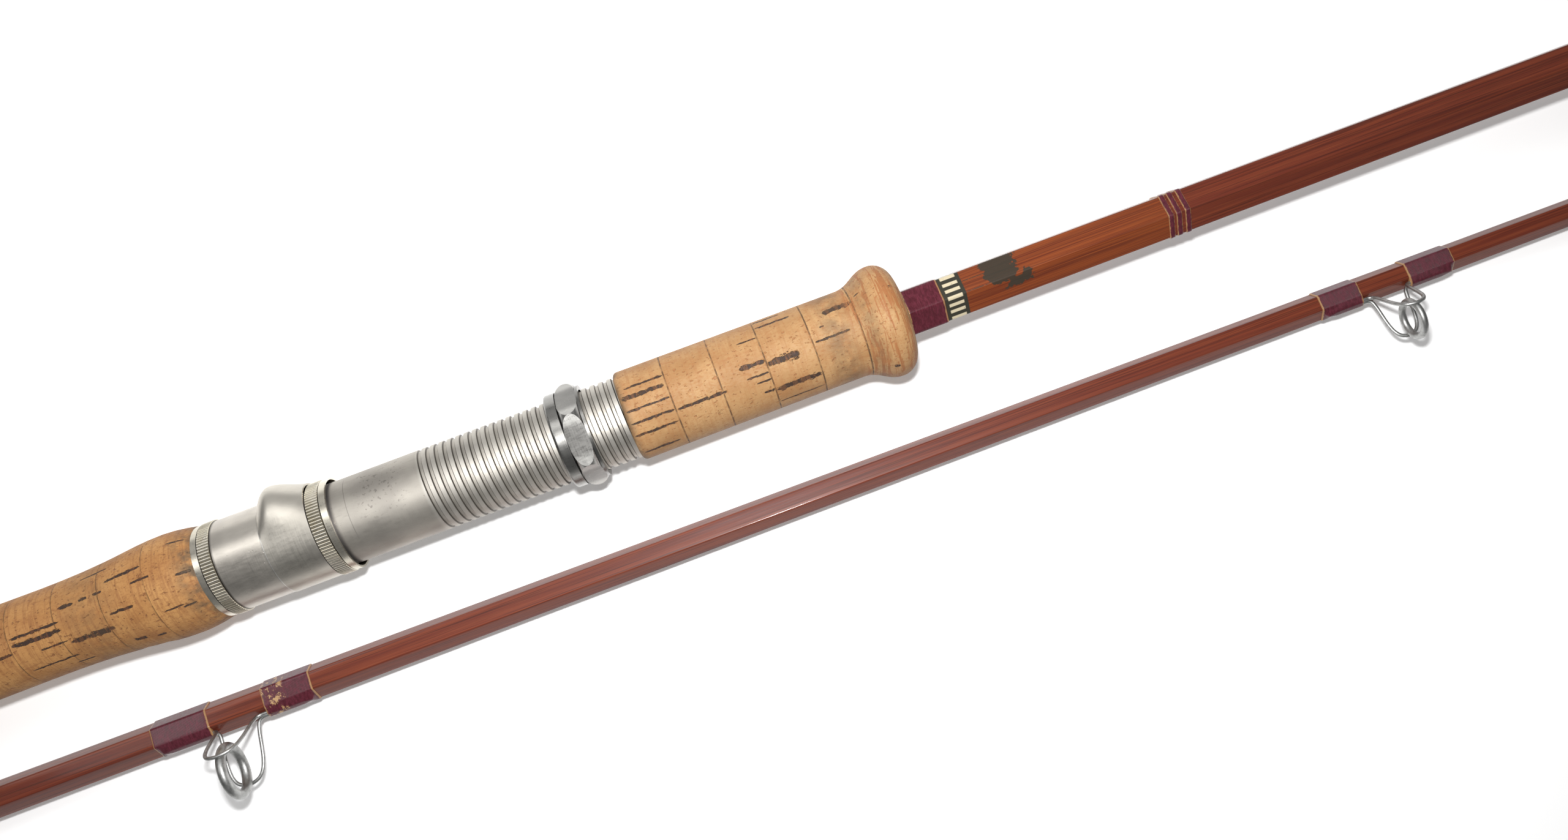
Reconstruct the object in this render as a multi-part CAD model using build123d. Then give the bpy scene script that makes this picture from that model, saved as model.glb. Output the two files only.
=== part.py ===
from build123d import *
import os
from math import cos, radians, sin, sqrt, tan

# A two-piece split-cane spinning rod, taken down: the butt section and the top section lie side by
# side on a flat surface. +X runs from the butt to the tip, +Z is up, and the origin is the middle of
# the footprint, on the surface. Lengths are in millimetres.

# ---- fits
GLUE_GAP = 0.05         # left between two round faces that are glued or pressed together
THRUST_GAP = 0.1        # play between the lock collar and the lock nut, along and around
THREAD_CLEARANCE = 0.15  # between the thread's crests and the lock nut's bore

# ---- cork
CORK_RING = 12.7        # one ring is half an inch long
REAR_RINGS = 30
FORE_RINGS = 6
FORE_CORK_START_RADIUS = 11.95
FORE_CORK_WAIST_RADIUS = 11.65
FLARE_RADIUS = 14.95
FLARE_ROUND = 5.0
FLARE_RISE = 10.0        # how far behind its rounded front the flare begins
FORE_CORK_EDGE = 1.2
# The rear grip's outline from the cap to the reel seat: distance from the seat, and radius.
REAR_GRIP_SWELL = (
    (289.0, 12.7),
    (169.0, 13.2),
    (95.0, 12.0),
    (56.0, 11.6),
    (24.0, 12.45),
    (7.0, 13.6),
    (0.0, 12.5),
)

# ---- butt end
BUTTON_LENGTH = 9.0
BUTTON_ROUND = 3.5
BUTTON_SPIGOT_RADIUS = 8.0
BUTTON_SPIGOT = 8.0
CAP_RADIUS = 13.4
CAP_WALL = 0.8
CAP_LENGTH = 25.0
CORK_START = BUTTON_LENGTH + 3.0

# ---- reel seat: places along it are measured from the rear grip's cork face
SEAT_START = CORK_START + REAR_RINGS * CORK_RING
COLLAR_LIP = 1.6
COLLAR_BEADS = 3.5
SLEEVE_RADIUS = 12.2
SLEEVE_END = 19.5
HOOD_START = 18.0
HOOD_BEADS_START = 30.8
HOOD_BEADS = 3.8
HOOD_LIP = 1.7
HOOD_RADIUS = 12.4
HOOD_WALL = 0.5
HOOD_RISE = 3.9         # how far the pocket bulges out of the hood at its closed end
POCKET_RADIUS = 8.6     # of the sloping round bar that the pocket is pressed out with
POCKET_SLOPE = 14.0
POCKET_END_ROUND = 3.2
POCKET_BACK = 2.2       # how far the bar's end starts behind the hood, and how far it stands above
POCKET_UP = 0.3
BEAD_RADIUS = 12.6
BEAD_COUNT = 90
BEAD_DEPTH = 0.3
LIP_RADIUS = 12.4
BARREL_RADIUS = 11.0
BARREL_WALL = 1.1
THREAD_START = 60.7
THREAD_PITCH = 25.4 / 11
THREAD_DEPTH = 0.55
THREAD_ROOT = 0.30       # width of the groove's flat bottom, as a share of the pitch
THREAD_MOUTH = 0.64      # its width a little above the crests
GROOVE_SHORT_OF_END = 0.6   # turns of solid barrel left at the end that is in the cork
GROOVE_START_ANGLE = 33.0
SEAT_LENGTH = 114.4
BARREL_IN_CORK = 4.5    # how far the barrel's end goes into the first fore cork ring

# ---- lock collar and lock nut, as they stand
LOCK_COLLAR_START = 95.7
LOCK_COLLAR_LENGTH = 3.0
LOCK_COLLAR_RADIUS = 12.65
LOCK_COLLAR_ROUND = 0.7
NUT_HEX_LENGTH = 5.6
NUT_RIM_LENGTH = 0.7
NUT_RIM_RADIUS = 12.35
NUT_ACROSS_FLATS = 24.0
NUT_FACE_RADIUS = 12.2
NUT_SPIGOT_WALL = 0.4

# ---- cane
BUTT_CANE_START = 20.0
HANDLE_CANE_WIDTH = 11.4   # across the flats
BUTT_CANE_WIDTH = 11.2     # where it leaves the fore grip
BUTT_CANE_END_WIDTH = 9.0
TOP_CANE_START_WIDTH = 8.9
TOP_CANE_END_WIDTH = 2.4
CORK_BORE_RADIUS = 6.65

# ---- ferrules
BUTT_LENGTH = 1300.0
SOCKET_RADIUS = 4.775
STATION_BORE_RADIUS = 4.5  # where the cane is glued in
FERRULE_RADIUS = 5.2
FERRULE_STATION = 32.0     # how far a ferrule reaches back over the cane
SOCKET_DEPTH = 41.0
WELT_RADIUS = 5.8
WELT_LENGTH = 5.0
WELT_ROUND = 0.25
MOISTURE_PLUG = 1.5        # thickness of the plug that closes the socket's inner end
PLUG_RADIUS = 4.765
PLUG_LENGTH = 38.0
PLUG_WALL = 0.4
PLUG_ROUND = 0.8
STATION_CHAMFER = 0.15
TOP_STATION_RADIUS = 4.95
FERRULE_SILK_SETBACK = 1.5   # of a ferrule's silk from the end that is over the cane
FERRULE_SILK_LENGTH = 16.5

# ---- whippings
WHIPPING = 0.3             # thickness of the silk
HANDLE_WHIPPING = (0.5, 10.3)   # from the front of the fore grip
BAND_STARTS = (71.4, 73.5, 75.9)
BAND_LENGTH = 1.5

# ---- top section
TOP_LENGTH = 1300.0
TIP_BACK = 1.0             # how far the tip's tube ends behind the ring's front
TIP_WHIPPING_LENGTH = 8.0
TIP_TUBE_LENGTH = 12.0
TIP_TUBE_RADIUS = 1.9
TIP_TUBE_WALL = 0.35
TIP_RING_RADIUS = 4.0
TIP_RING_WIRE = 1.3
TIP_STAY_WIRE = 0.8
TIP_RING_HEIGHT = 5.6

# ---- guides: name, place, outer and inner ring radius, ring height over the cane's axis, wire
# ---- radius, and the whippings' start and end, before and after the ring
BUTT_GUIDE = ("butt_guide", 1020.0, 11.0, 7.8, 24.0, 0.6, (-27.0, -8.6), (8.6, 27.0))
TOP_GUIDES = (
    ("guide_1", 170.1, 7.75, 5.2, 18.5, 0.5, (-21.2, -5.4), (9.9, 23.7)),
    ("guide_2", 497.7, 5.65, 3.8, 15.1, 0.5, (-18.5, -7.3), (6.0, 18.9)),
    ("guide_3", 769.5, 4.6, 3.1, 12.0, 0.4, (-16.5, -6.2), (6.2, 16.5)),
    ("guide_4", 989.5, 4.0, 2.7, 10.2, 0.4, (-15.0, -5.6), (5.6, 15.0)),
    ("guide_5", 1159.5, 3.6, 2.4, 8.8, 0.35, (-14.0, -5.2), (5.2, 14.0)),
)
BRAZE = 0.15               # how deep a wire is brazed into its ring
FOOT_SHORT_OF_WHIPPING = 2.5
FOOT_CLEAR_OF_WHIPPING = 0.6   # where the wire starts to rise, outside the whipping
# A wire's leg follows a cubic curve from where it starts to rise to where it meets the ring. Along the
# rod, its second control point is a share of the leg's length, and the others of the ring's radius.
LEG_FOOT = 0.55
LEG_BULGE = 1.0
LEG_END = 0.10
LEG_OUT = (0.0, 0.0, 1.0, 1.0)   # shares of the way out and up to the ring
LEG_STEPS = 7
BEND_SHARE = 0.49          # of the shorter run beside a bend

# ---- how the sections lie
AXIS_SPACING = 36.0
TOP_SECTION_OFFSET = 210.0  # the top section's start, past the butt section's
BUTT_ROLL = -81.0          # turns about X of what points up when unturned
HOOD_ROLL = -62.0
NUT_ROLL = 10.0
TOP_ROLL = 50.0

FORE_GRIP_START = SEAT_START + SEAT_LENGTH
FORE_GRIP_END = FORE_GRIP_START + FORE_RINGS * CORK_RING
BUTT_CANE_END = BUTT_LENGTH - SOCKET_DEPTH - MOISTURE_PLUG
TOP_CANE_START = PLUG_LENGTH + 2.0
TOP_STATION_END = TOP_CANE_START + FERRULE_STATION
TOP_CANE_END = TOP_LENGTH - 2.0
BUTT_HEIGHT = FLARE_RADIUS
TOP_HEIGHT = TOP_STATION_RADIUS + GLUE_GAP + WHIPPING
ROD_LENGTH = TOP_SECTION_OFFSET + TOP_LENGTH


def footprint_side(guide, roll):
    """How far a guide's ring reaches sideways from its section's axis."""
    height, radius = guide[4], guide[2]
    return height * sin(radians(abs(roll))) + radius


BUTT_SIDE = footprint_side(BUTT_GUIDE, BUTT_ROLL)
TOP_SIDE = footprint_side(TOP_GUIDES[0], TOP_ROLL)
BUTT_Y = (AXIS_SPACING + TOP_SIDE - BUTT_SIDE) / 2
TOP_Y = BUTT_Y - AXIS_SPACING

built = {}


# ---- helpers. Every piece is made about the X axis, with what points outwards up, and then placed.
def across(x):
    """The plane across the rod at x, with Y to its right and Z up."""
    return Plane(origin=(x, 0, 0), x_dir=(0, 1, 0), z_dir=(1, 0, 0))


def rod(start, end, radius):
    return across(start) * Cylinder(radius, end - start, align=(Align.CENTER, Align.CENTER, Align.MIN))


def tube(start, end, outer, inner):
    return rod(start, end, outer) - rod(start - 1, end + 1, inner)


def turned(*outline):
    """A closed outline of (x, radius) points and edges, turned about X."""
    return revolve(make_face(list(outline)), Axis.X)


def turned_polygon(*points):
    return turned(Polyline(*points, close=True).edges())


def hexagon(x, width):
    """The cane's section: two faces lie level, and two corners point sideways."""
    corner = width / sqrt(3)
    points = [(corner * cos(radians(60 * k)), corner * sin(radians(60 * k))) for k in range(6)]
    return across(x) * make_face(Polyline(*points, close=True))


def tapered(start, end, start_width, end_width):
    return loft([hexagon(start, start_width), hexagon(end, end_width)])


def strips(bar, start, end):
    """The six bamboo strips that a hexagonal bar is glued up from."""
    reach = HANDLE_CANE_WIDTH
    corners = [(reach * cos(radians(60 * k)), reach * sin(radians(60 * k))) for k in range(7)]
    made = []
    for k in range(6):
        wedge = Polyline((0, 0), corners[k], corners[k + 1], close=True)
        made.append(bar & extrude(across(start) * make_face(wedge), end - start))
    return made


def butt_width(x):
    """Width across the flats of the butt cane in front of the handle."""
    share = (x - FORE_GRIP_END) / (BUTT_CANE_END - FORE_GRIP_END)
    return BUTT_CANE_WIDTH + share * (BUTT_CANE_END_WIDTH - BUTT_CANE_WIDTH)


def top_width(x):
    share = (x - TOP_CANE_START) / (TOP_CANE_END - TOP_CANE_START)
    return TOP_CANE_START_WIDTH + share * (TOP_CANE_END_WIDTH - TOP_CANE_START_WIDTH)


def foot_spread(wire):
    """Half the distance between the middles of a guide's two foot wires, which lie side by side."""
    return wire + GLUE_GAP


def beaded_band(start, end, radius, inner):
    """A band with a row of rounded beads around it, each lying along the rod."""
    step = 2 * 180 / BEAD_COUNT
    low = radius - BEAD_DEPTH
    arcs = []
    for k in range(BEAD_COUNT):
        a, mid, b = (radians(step * (k + share)) for share in (0, 0.5, 1))
        crest = (radius * cos(mid), radius * sin(mid))
        arcs.append(ThreePointArc((low * cos(a), low * sin(a)), crest, (low * cos(b), low * sin(b))))
    round_end = 2 * BEAD_DEPTH
    envelope = turned_polygon(
        (start, inner),
        (start, radius - round_end),
        (start + round_end / 2, radius),
        (end - round_end / 2, radius),
        (end, radius - round_end),
        (end, inner),
    )
    return extrude(across(start) * make_face(arcs), end - start) & envelope


def whipping(start, end, width_at, wire=0.0, level=0.0):
    """Silk wound over the cane, with a ridge over a guide's two foot wires, whose middles are at level."""
    room = 4 * foot_spread(wire)
    over_wires = level + wire + GLUE_GAP

    def section(x):
        corner = (width_at(x) / 2 + WHIPPING) * 2 / sqrt(3)
        points = [(corner * cos(radians(60 * k)), corner * sin(radians(60 * k))) for k in range(6)]
        if wire:
            side = room / 2 + WHIPPING / 2
            points[2:2] = [(side, over_wires + WHIPPING), (-side, over_wires + WHIPPING)]
        return across(x) * make_face(Polyline(*points, close=True))

    silk = loft([section(start), section(end)])
    silk -= tapered(start - 1, end + 1, width_at(start - 1), width_at(end + 1))
    if wire:
        middle = ((start + end) / 2, 0, over_wires / 2)
        silk -= Pos(*middle) * Box(end - start + 2, room, over_wires)
    return silk


def add(name, parts, axis_y, height, roll):
    """Turns the pieces of a node about the rod, and moves them to where their section lies."""
    parts = parts if isinstance(parts, list) else [parts]
    along = TOP_SECTION_OFFSET if axis_y == TOP_Y else 0
    place = Pos(along - ROD_LENGTH / 2, axis_y, height) * Rot(roll, 0, 0)
    solids = [place * solid for part in parts for solid in part.solids()]
    built[name] = solids[0] if len(solids) == 1 else Compound(children=solids)


def add_butt(name, parts, roll=0.0):
    add(name, parts, BUTT_Y, BUTT_HEIGHT, roll)


def add_top(name, parts):
    add(name, parts, TOP_Y, TOP_HEIGHT, TOP_ROLL)


# ---- the handle
def rubber_button():
    pad = rod(0, BUTTON_LENGTH, FLARE_RADIUS)
    pad = fillet(pad.edges().group_by(Axis.X)[0], BUTTON_ROUND)
    return pad + rod(BUTTON_LENGTH, BUTTON_LENGTH + BUTTON_SPIGOT, BUTTON_SPIGOT_RADIUS)


def butt_cap():
    base = tube(BUTTON_LENGTH, BUTTON_LENGTH + CAP_WALL, CAP_RADIUS, BUTTON_SPIGOT_RADIUS + GLUE_GAP)
    return base + tube(BUTTON_LENGTH, BUTTON_LENGTH + CAP_LENGTH, CAP_RADIUS, CAP_RADIUS - CAP_WALL)


def ring_slices(grip, start, count):
    made = []
    for k in range(count):
        slab = rod(start + k * CORK_RING, start + (k + 1) * CORK_RING, 2 * FLARE_RADIUS)
        made.append(grip & slab)
    return made


def rear_grip_rings():
    """The rear grip's cork: a long double swell, turned down at its end to go into the cap."""
    spigot = CAP_RADIUS - CAP_WALL - GLUE_GAP
    cap_end = BUTTON_LENGTH + CAP_LENGTH
    swell = [(SEAT_START - back, radius) for back, radius in REAR_GRIP_SWELL]
    outline = [
        Spline((cap_end, CAP_RADIUS), *swell),
        Polyline(
            swell[-1],
            (SEAT_START, CORK_BORE_RADIUS),
            (CORK_START, CORK_BORE_RADIUS),
            (CORK_START, spigot),
            (cap_end, spigot),
            (cap_end, CAP_RADIUS),
        ),
    ]
    grip = revolve(make_face(outline), Axis.X)
    button_end = BUTTON_LENGTH + BUTTON_SPIGOT
    recess = rod(CORK_START - 1, button_end + 1, BUTTON_SPIGOT_RADIUS + GLUE_GAP)
    return ring_slices(grip - recess, CORK_START, REAR_RINGS)


def fore_grip_rings():
    """Six cork rings: a straight grip with a slight waist, and a flared, rounded front."""
    start, end = FORE_GRIP_START, FORE_GRIP_END
    edge = FORE_CORK_START_RADIUS - FORE_CORK_EDGE
    nose = FLARE_RADIUS - FLARE_ROUND
    crest = end - FLARE_ROUND
    waist = crest - FLARE_RISE
    slope = FORE_CORK_WAIST_RADIUS - FORE_CORK_START_RADIUS
    along = (waist - start, slope)
    outline = [
        Polyline((end, nose), (end, CORK_BORE_RADIUS), (start, CORK_BORE_RADIUS), (start, edge)),
        RadiusArc((start, edge), (start + FORE_CORK_EDGE, FORE_CORK_START_RADIUS), FORE_CORK_EDGE),
        Line((start + FORE_CORK_EDGE, FORE_CORK_START_RADIUS), (waist, FORE_CORK_WAIST_RADIUS)),
        Spline((waist, FORE_CORK_WAIST_RADIUS), (crest, FLARE_RADIUS), tangents=(along, (1, 0))),
        RadiusArc((crest, FLARE_RADIUS), (end, nose), FLARE_ROUND),
    ]
    grip = revolve(make_face(outline), Axis.X)
    recess = rod(start - 1, start + BARREL_IN_CORK + GLUE_GAP, BARREL_RADIUS + GLUE_GAP)
    return ring_slices(grip - recess, start, FORE_RINGS)


# ---- the reel seat
def seat_barrel():
    start = SEAT_START + COLLAR_LIP
    end = FORE_GRIP_START + BARREL_IN_CORK
    barrel = tube(start, end, BARREL_RADIUS, BARREL_RADIUS - BARREL_WALL)
    groove_start = SEAT_START + THREAD_START
    turns = (end - groove_start) / THREAD_PITCH - GROOVE_SHORT_OF_END
    path = Helix(THREAD_PITCH, turns * THREAD_PITCH, BARREL_RADIUS)
    outer, root = BARREL_RADIUS + THREAD_DEPTH / 2, BARREL_RADIUS - THREAD_DEPTH
    half_root = THREAD_ROOT * THREAD_PITCH / 2
    half_top = THREAD_MOUTH * THREAD_PITCH / 2
    corners = [(outer, 0, -half_top), (root, 0, -half_root), (root, 0, half_root), (outer, 0, half_top)]
    groove = make_face(Polyline(*corners, close=True))
    cutter = sweep(groove, path=path, is_frenet=True)
    along_x = Rot(0, 90, 0) * Rot(0, 0, GROOVE_START_ANGLE)
    return barrel - Pos(groove_start, 0, 0) * along_x * cutter


def seat_arbor():
    return tube(SEAT_START, FORE_GRIP_START, BARREL_RADIUS - BARREL_WALL - GLUE_GAP, CORK_BORE_RADIUS)


def rear_collar():
    lip_end = SEAT_START + COLLAR_LIP
    lip = tube(SEAT_START, lip_end, LIP_RADIUS, BARREL_RADIUS - BARREL_WALL)
    band = beaded_band(lip_end, lip_end + COLLAR_BEADS, BEAD_RADIUS, BARREL_RADIUS + GLUE_GAP)
    return lip + band


def seat_sleeve():
    start = SEAT_START + COLLAR_LIP + COLLAR_BEADS
    step = SEAT_START + HOOD_START
    body = tube(start, step, SLEEVE_RADIUS, BARREL_RADIUS + GLUE_GAP)
    spigot_radius = HOOD_RADIUS - HOOD_WALL - GLUE_GAP
    spigot = tube(step, SEAT_START + SLEEVE_END, spigot_radius, BARREL_RADIUS + GLUE_GAP)
    return body + spigot


def pocket(inset):
    """The pocket's rounded swelling: a sloping round bar whose back end is rounded over."""
    start = SEAT_START + HOOD_START + inset
    end = SEAT_START + HOOD_BEADS_START
    length = (end - start) * 1.5
    middle = HOOD_RADIUS + HOOD_RISE - POCKET_RADIUS + POCKET_UP
    bar = Cylinder(POCKET_RADIUS - inset, length, align=(Align.CENTER, Align.CENTER, Align.MIN))
    bar = fillet(bar.edges().group_by(Axis.Z)[0], POCKET_END_ROUND)
    placed = Pos(start - POCKET_BACK, 0, middle) * Rot(0, 90 + POCKET_SLOPE, 0) * bar
    return placed & rod(start, end, 2 * FLARE_RADIUS)


def reel_hood():
    """A thin sleeve with a pocket pressed out of it, which the reel's foot slides under."""
    start, end = SEAT_START + HOOD_START, SEAT_START + HOOD_BEADS_START
    outer = rod(start, end, HOOD_RADIUS) + pocket(0)
    return outer - rod(start - 1, end + 1, HOOD_RADIUS - HOOD_WALL) - pocket(HOOD_WALL)


def hood_mouth_ring():
    start = SEAT_START + HOOD_BEADS_START
    lip_start = start + HOOD_BEADS
    inner = HOOD_RADIUS - HOOD_WALL
    band = beaded_band(start, lip_start, BEAD_RADIUS, inner)
    return band + tube(lip_start, lip_start + HOOD_LIP, LIP_RADIUS, inner)


def lock_collar():
    start = SEAT_START + LOCK_COLLAR_START
    end = start + LOCK_COLLAR_LENGTH
    spigot = BARREL_RADIUS + THREAD_CLEARANCE + NUT_SPIGOT_WALL
    ring = tube(start, end, LOCK_COLLAR_RADIUS, spigot + THRUST_GAP)
    back_edges = ring.edges().filter_by(GeomType.CIRCLE).group_by(Axis.X)[0]
    return fillet(back_edges.sort_by(SortBy.RADIUS)[-1], LOCK_COLLAR_ROUND)


def lock_nut():
    """A hexagon whose corners are turned away to a smooth curve, with a rim and a spigot."""
    start = SEAT_START + LOCK_COLLAR_START + LOCK_COLLAR_LENGTH + THRUST_GAP
    hex_end = start + NUT_HEX_LENGTH - THRUST_GAP
    end = hex_end + NUT_RIM_LENGTH
    bore = BARREL_RADIUS + THREAD_CLEARANCE
    corner = NUT_ACROSS_FLATS / sqrt(3)
    crown = [
        Polyline((start, NUT_FACE_RADIUS), (start, 0), (hex_end, 0), (hex_end, NUT_FACE_RADIUS)),
        ThreePointArc((hex_end, NUT_FACE_RADIUS), ((start + hex_end) / 2, corner), (start, NUT_FACE_RADIUS)),
    ]
    prism = extrude(hexagon(start, NUT_ACROSS_FLATS), hex_end - start)
    body = prism & revolve(make_face(crown), Axis.X)
    rim = rod(hex_end, end, NUT_RIM_RADIUS)
    spigot_start = SEAT_START + LOCK_COLLAR_START + THRUST_GAP
    spigot = rod(spigot_start, start, bore + NUT_SPIGOT_WALL)
    return body + rim + spigot - rod(spigot_start - 1, end + 1, bore)


# ---- cane and ferrules
def butt_cane():
    start, grip_end, end = BUTT_CANE_START, FORE_GRIP_END, BUTT_CANE_END
    bar = tapered(start, grip_end, HANDLE_CANE_WIDTH, BUTT_CANE_WIDTH)
    bar += tapered(grip_end, end, BUTT_CANE_WIDTH, BUTT_CANE_END_WIDTH)
    bar -= tube(end - FERRULE_STATION, end + 1, 2 * FLARE_RADIUS, STATION_BORE_RADIUS - GLUE_GAP)
    return strips(bar, start, end)


def female_ferrule():
    barrel = rod(BUTT_CANE_END - FERRULE_STATION, BUTT_LENGTH, FERRULE_RADIUS)
    socket_end = BUTT_CANE_END + MOISTURE_PLUG
    barrel -= rod(BUTT_CANE_END - FERRULE_STATION - 1, socket_end, STATION_BORE_RADIUS)
    return barrel - rod(socket_end, BUTT_LENGTH + 1, SOCKET_RADIUS)


def ferrule_welt():
    welt = tube(BUTT_LENGTH - WELT_LENGTH, BUTT_LENGTH, WELT_RADIUS, FERRULE_RADIUS + GLUE_GAP)
    rims = welt.edges().filter_by(GeomType.CIRCLE).sort_by(SortBy.RADIUS)[-2:]
    return fillet(rims, WELT_ROUND)


def moisture_plug():
    return rod(BUTT_CANE_END, BUTT_CANE_END + MOISTURE_PLUG, STATION_BORE_RADIUS - GLUE_GAP)


def top_cane():
    bar = tapered(TOP_CANE_START, TOP_CANE_END, TOP_CANE_START_WIDTH, TOP_CANE_END_WIDTH)
    bar -= tube(TOP_CANE_START - 1, TOP_STATION_END, 2 * FLARE_RADIUS, PLUG_RADIUS - PLUG_WALL - GLUE_GAP)
    tip_start = TOP_LENGTH - TIP_BACK - TIP_TUBE_LENGTH
    bar -= tube(tip_start, TOP_CANE_END + 1, 2 * FLARE_RADIUS, TIP_TUBE_RADIUS - TIP_TUBE_WALL - GLUE_GAP)
    return strips(bar, TOP_CANE_START, TOP_CANE_END)


def male_ferrule():
    """A drawn tube: a slide that is closed and rounded at its end, and a wider part on the cane."""
    slide = rod(0, PLUG_LENGTH, PLUG_RADIUS)
    slide = fillet(slide.edges().group_by(Axis.X)[0], PLUG_ROUND)
    station = rod(PLUG_LENGTH, TOP_STATION_END, TOP_STATION_RADIUS)
    station = chamfer(station.edges().group_by(Axis.X)[0], STATION_CHAMFER)
    return slide + station - rod(TOP_CANE_START - 1, TOP_STATION_END + 1, PLUG_RADIUS - PLUG_WALL)


# ---- guides
def guide_ring(spec):
    _, place, outer, inner, height, _, _, _ = spec
    ring = Torus((outer + inner) / 2, (outer - inner) / 2)
    return Pos(place, 0, height) * Rot(0, 90, 0) * ring


def cubic(controls, share):
    """The cubic curve with these four control values, a share of the way along it."""
    rest = 1 - share
    a, b, c, d = controls
    return a * rest**3 + 3 * b * rest**2 * share + 3 * c * rest * share**2 + d * share**3


def bend_radii(points):
    """Radii that round a bent wire's corners as far as the runs beside them let them."""
    radii = []
    for k in range(1, len(points) - 1):
        before = Vector(*points[k]) - Vector(*points[k - 1])
        after = Vector(*points[k + 1]) - Vector(*points[k])
        run = BEND_SHARE * min(before.length, after.length)
        radii.append(run / tan(radians(before.get_angle(after) / 2)))
    return radii


def wire_level(spec, width_at):
    """Height of a guide's foot wires, which lie level, over the thicker end of the cane under them."""
    _, place, _, _, _, wire, before, _ = spec
    return width_at(place + before[0]) / 2 + wire + GLUE_GAP


def wire_leg(gap, outer, near, side, low, height):
    """Corners of a leg on the ring's +X side, from a foot beside a whipping gap away to the ring."""
    length = min(gap - FOOT_CLEAR_OF_WHIPPING, outer)
    controls = (length, LEG_FOOT * length, LEG_BULGE * outer, LEG_END * outer)
    leg = []
    for k in range(LEG_STEPS + 1):
        along = cubic(controls, k / LEG_STEPS)
        out = cubic(LEG_OUT, k / LEG_STEPS)
        leg.append((along, near + out * (side - near), low + out * (height - low)))
    return leg


def guide_frame(spec, width_at):
    """Two bent wires: each starts under one whipping, bows out to the ring's side and comes back."""
    _, place, outer, _, height, wire, before, after = spec
    front = after[1] - FOOT_SHORT_OF_WHIPPING
    back = before[0] + FOOT_SHORT_OF_WHIPPING
    low = wire_level(spec, width_at)
    made = []
    for hand in (-1, 1):
        near = hand * foot_spread(wire)
        side = hand * (outer + wire - BRAZE)
        back_leg = wire_leg(-before[1], outer, near, side, low, height)
        front_leg = wire_leg(after[0], outer, near, side, low, height)
        points = [(place + back, near, low)]
        points += [(place - x, y, z) for x, y, z in back_leg]
        points += [(place + x, y, z) for x, y, z in front_leg[::-1]]
        points += [(place + front, near, low)]
        path = FilletPolyline(*points, radius=bend_radii(points))
        section = Plane(origin=points[0], z_dir=(1, 0, 0)) * Circle(wire)
        made.append(sweep(section, path=path))
    return made


def guide_whippings(spec, width_at):
    _, place, _, _, _, wire, before, after = spec
    level = wire_level(spec, width_at)
    return [whipping(place + start, place + end, width_at, wire, level) for start, end in (before, after)]


def guide(spec, width_at, add_to_section):
    name = spec[0]
    add_to_section(name + "_ring", guide_ring(spec))
    add_to_section(name + "_frame", guide_frame(spec, width_at))
    add_to_section(name + "_whippings", guide_whippings(spec, width_at))


def tip_tube():
    end = TOP_LENGTH - TIP_BACK
    return tube(end - TIP_TUBE_LENGTH, end, TIP_TUBE_RADIUS, TIP_TUBE_RADIUS - TIP_TUBE_WALL)


def tip_ring():
    wire = TIP_RING_WIRE / 2
    ring = Torus(TIP_RING_RADIUS - wire, wire)
    return Pos(TOP_LENGTH - wire, 0, TIP_RING_HEIGHT) * Rot(0, 90, 0) * ring


def tip_stays():
    """Two straight wires from the tube's back end to the sides of the tip ring."""
    wire = TIP_STAY_WIRE / 2
    made = []
    for hand in (-1, 1):
        beside_tube = hand * (TIP_TUBE_RADIUS + wire - BRAZE)
        beside_ring = hand * (TIP_RING_RADIUS + wire - BRAZE)
        foot = Vector(TOP_LENGTH - TIP_TUBE_LENGTH - TIP_BACK / 2, beside_tube, wire)
        head = Vector(TOP_LENGTH - TIP_RING_WIRE / 2, beside_ring, TIP_RING_HEIGHT)
        run = head - foot
        stay = Cylinder(wire, run.length, align=(Align.CENTER, Align.CENTER, Align.MIN))
        made.append(Plane(origin=foot, z_dir=run) * stay)
    return made


def silk_tube(start, end, inner):
    return tube(start, end, inner + GLUE_GAP + WHIPPING, inner + GLUE_GAP)


# ---- build
def build_handle():
    add_butt("rubber_button", rubber_button())
    add_butt("butt_cap", butt_cap())
    add_butt("rear_grip_cork_rings", rear_grip_rings())
    add_butt("rear_collar", rear_collar())
    add_butt("seat_sleeve", seat_sleeve())
    add_butt("reel_hood", reel_hood(), HOOD_ROLL)
    add_butt("hood_mouth_ring", hood_mouth_ring())
    add_butt("seat_barrel", seat_barrel())
    add_butt("seat_arbor", seat_arbor())
    add_butt("lock_collar", lock_collar())
    add_butt("lock_nut", lock_nut(), NUT_ROLL)
    names = ["fore_cork_ring_%d" % (k + 1) for k in range(FORE_RINGS - 1)] + ["fore_cork_flare"]
    for name, ring in zip(names, fore_grip_rings()):
        add_butt(name, ring)


def build_butt_section():
    add_butt("butt_cane", butt_cane(), BUTT_ROLL)
    start, end = HANDLE_WHIPPING
    handle = whipping(FORE_GRIP_END + start, FORE_GRIP_END + end, butt_width)
    add_butt("handle_whipping", handle, BUTT_ROLL)
    bands = [
        whipping(FORE_GRIP_END + start, FORE_GRIP_END + start + BAND_LENGTH, butt_width)
        for start in BAND_STARTS
    ]
    add_butt("band_whippings", bands, BUTT_ROLL)
    guide(BUTT_GUIDE, butt_width, lambda name, parts: add_butt(name, parts, BUTT_ROLL))
    add_butt("female_ferrule", female_ferrule())
    add_butt("ferrule_welt", ferrule_welt())
    add_butt("moisture_plug", moisture_plug())
    silk_start = BUTT_CANE_END - FERRULE_STATION + FERRULE_SILK_SETBACK
    butt_silk = silk_tube(silk_start, silk_start + FERRULE_SILK_LENGTH, FERRULE_RADIUS)
    add_butt("butt_ferrule_whipping", butt_silk)


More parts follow.
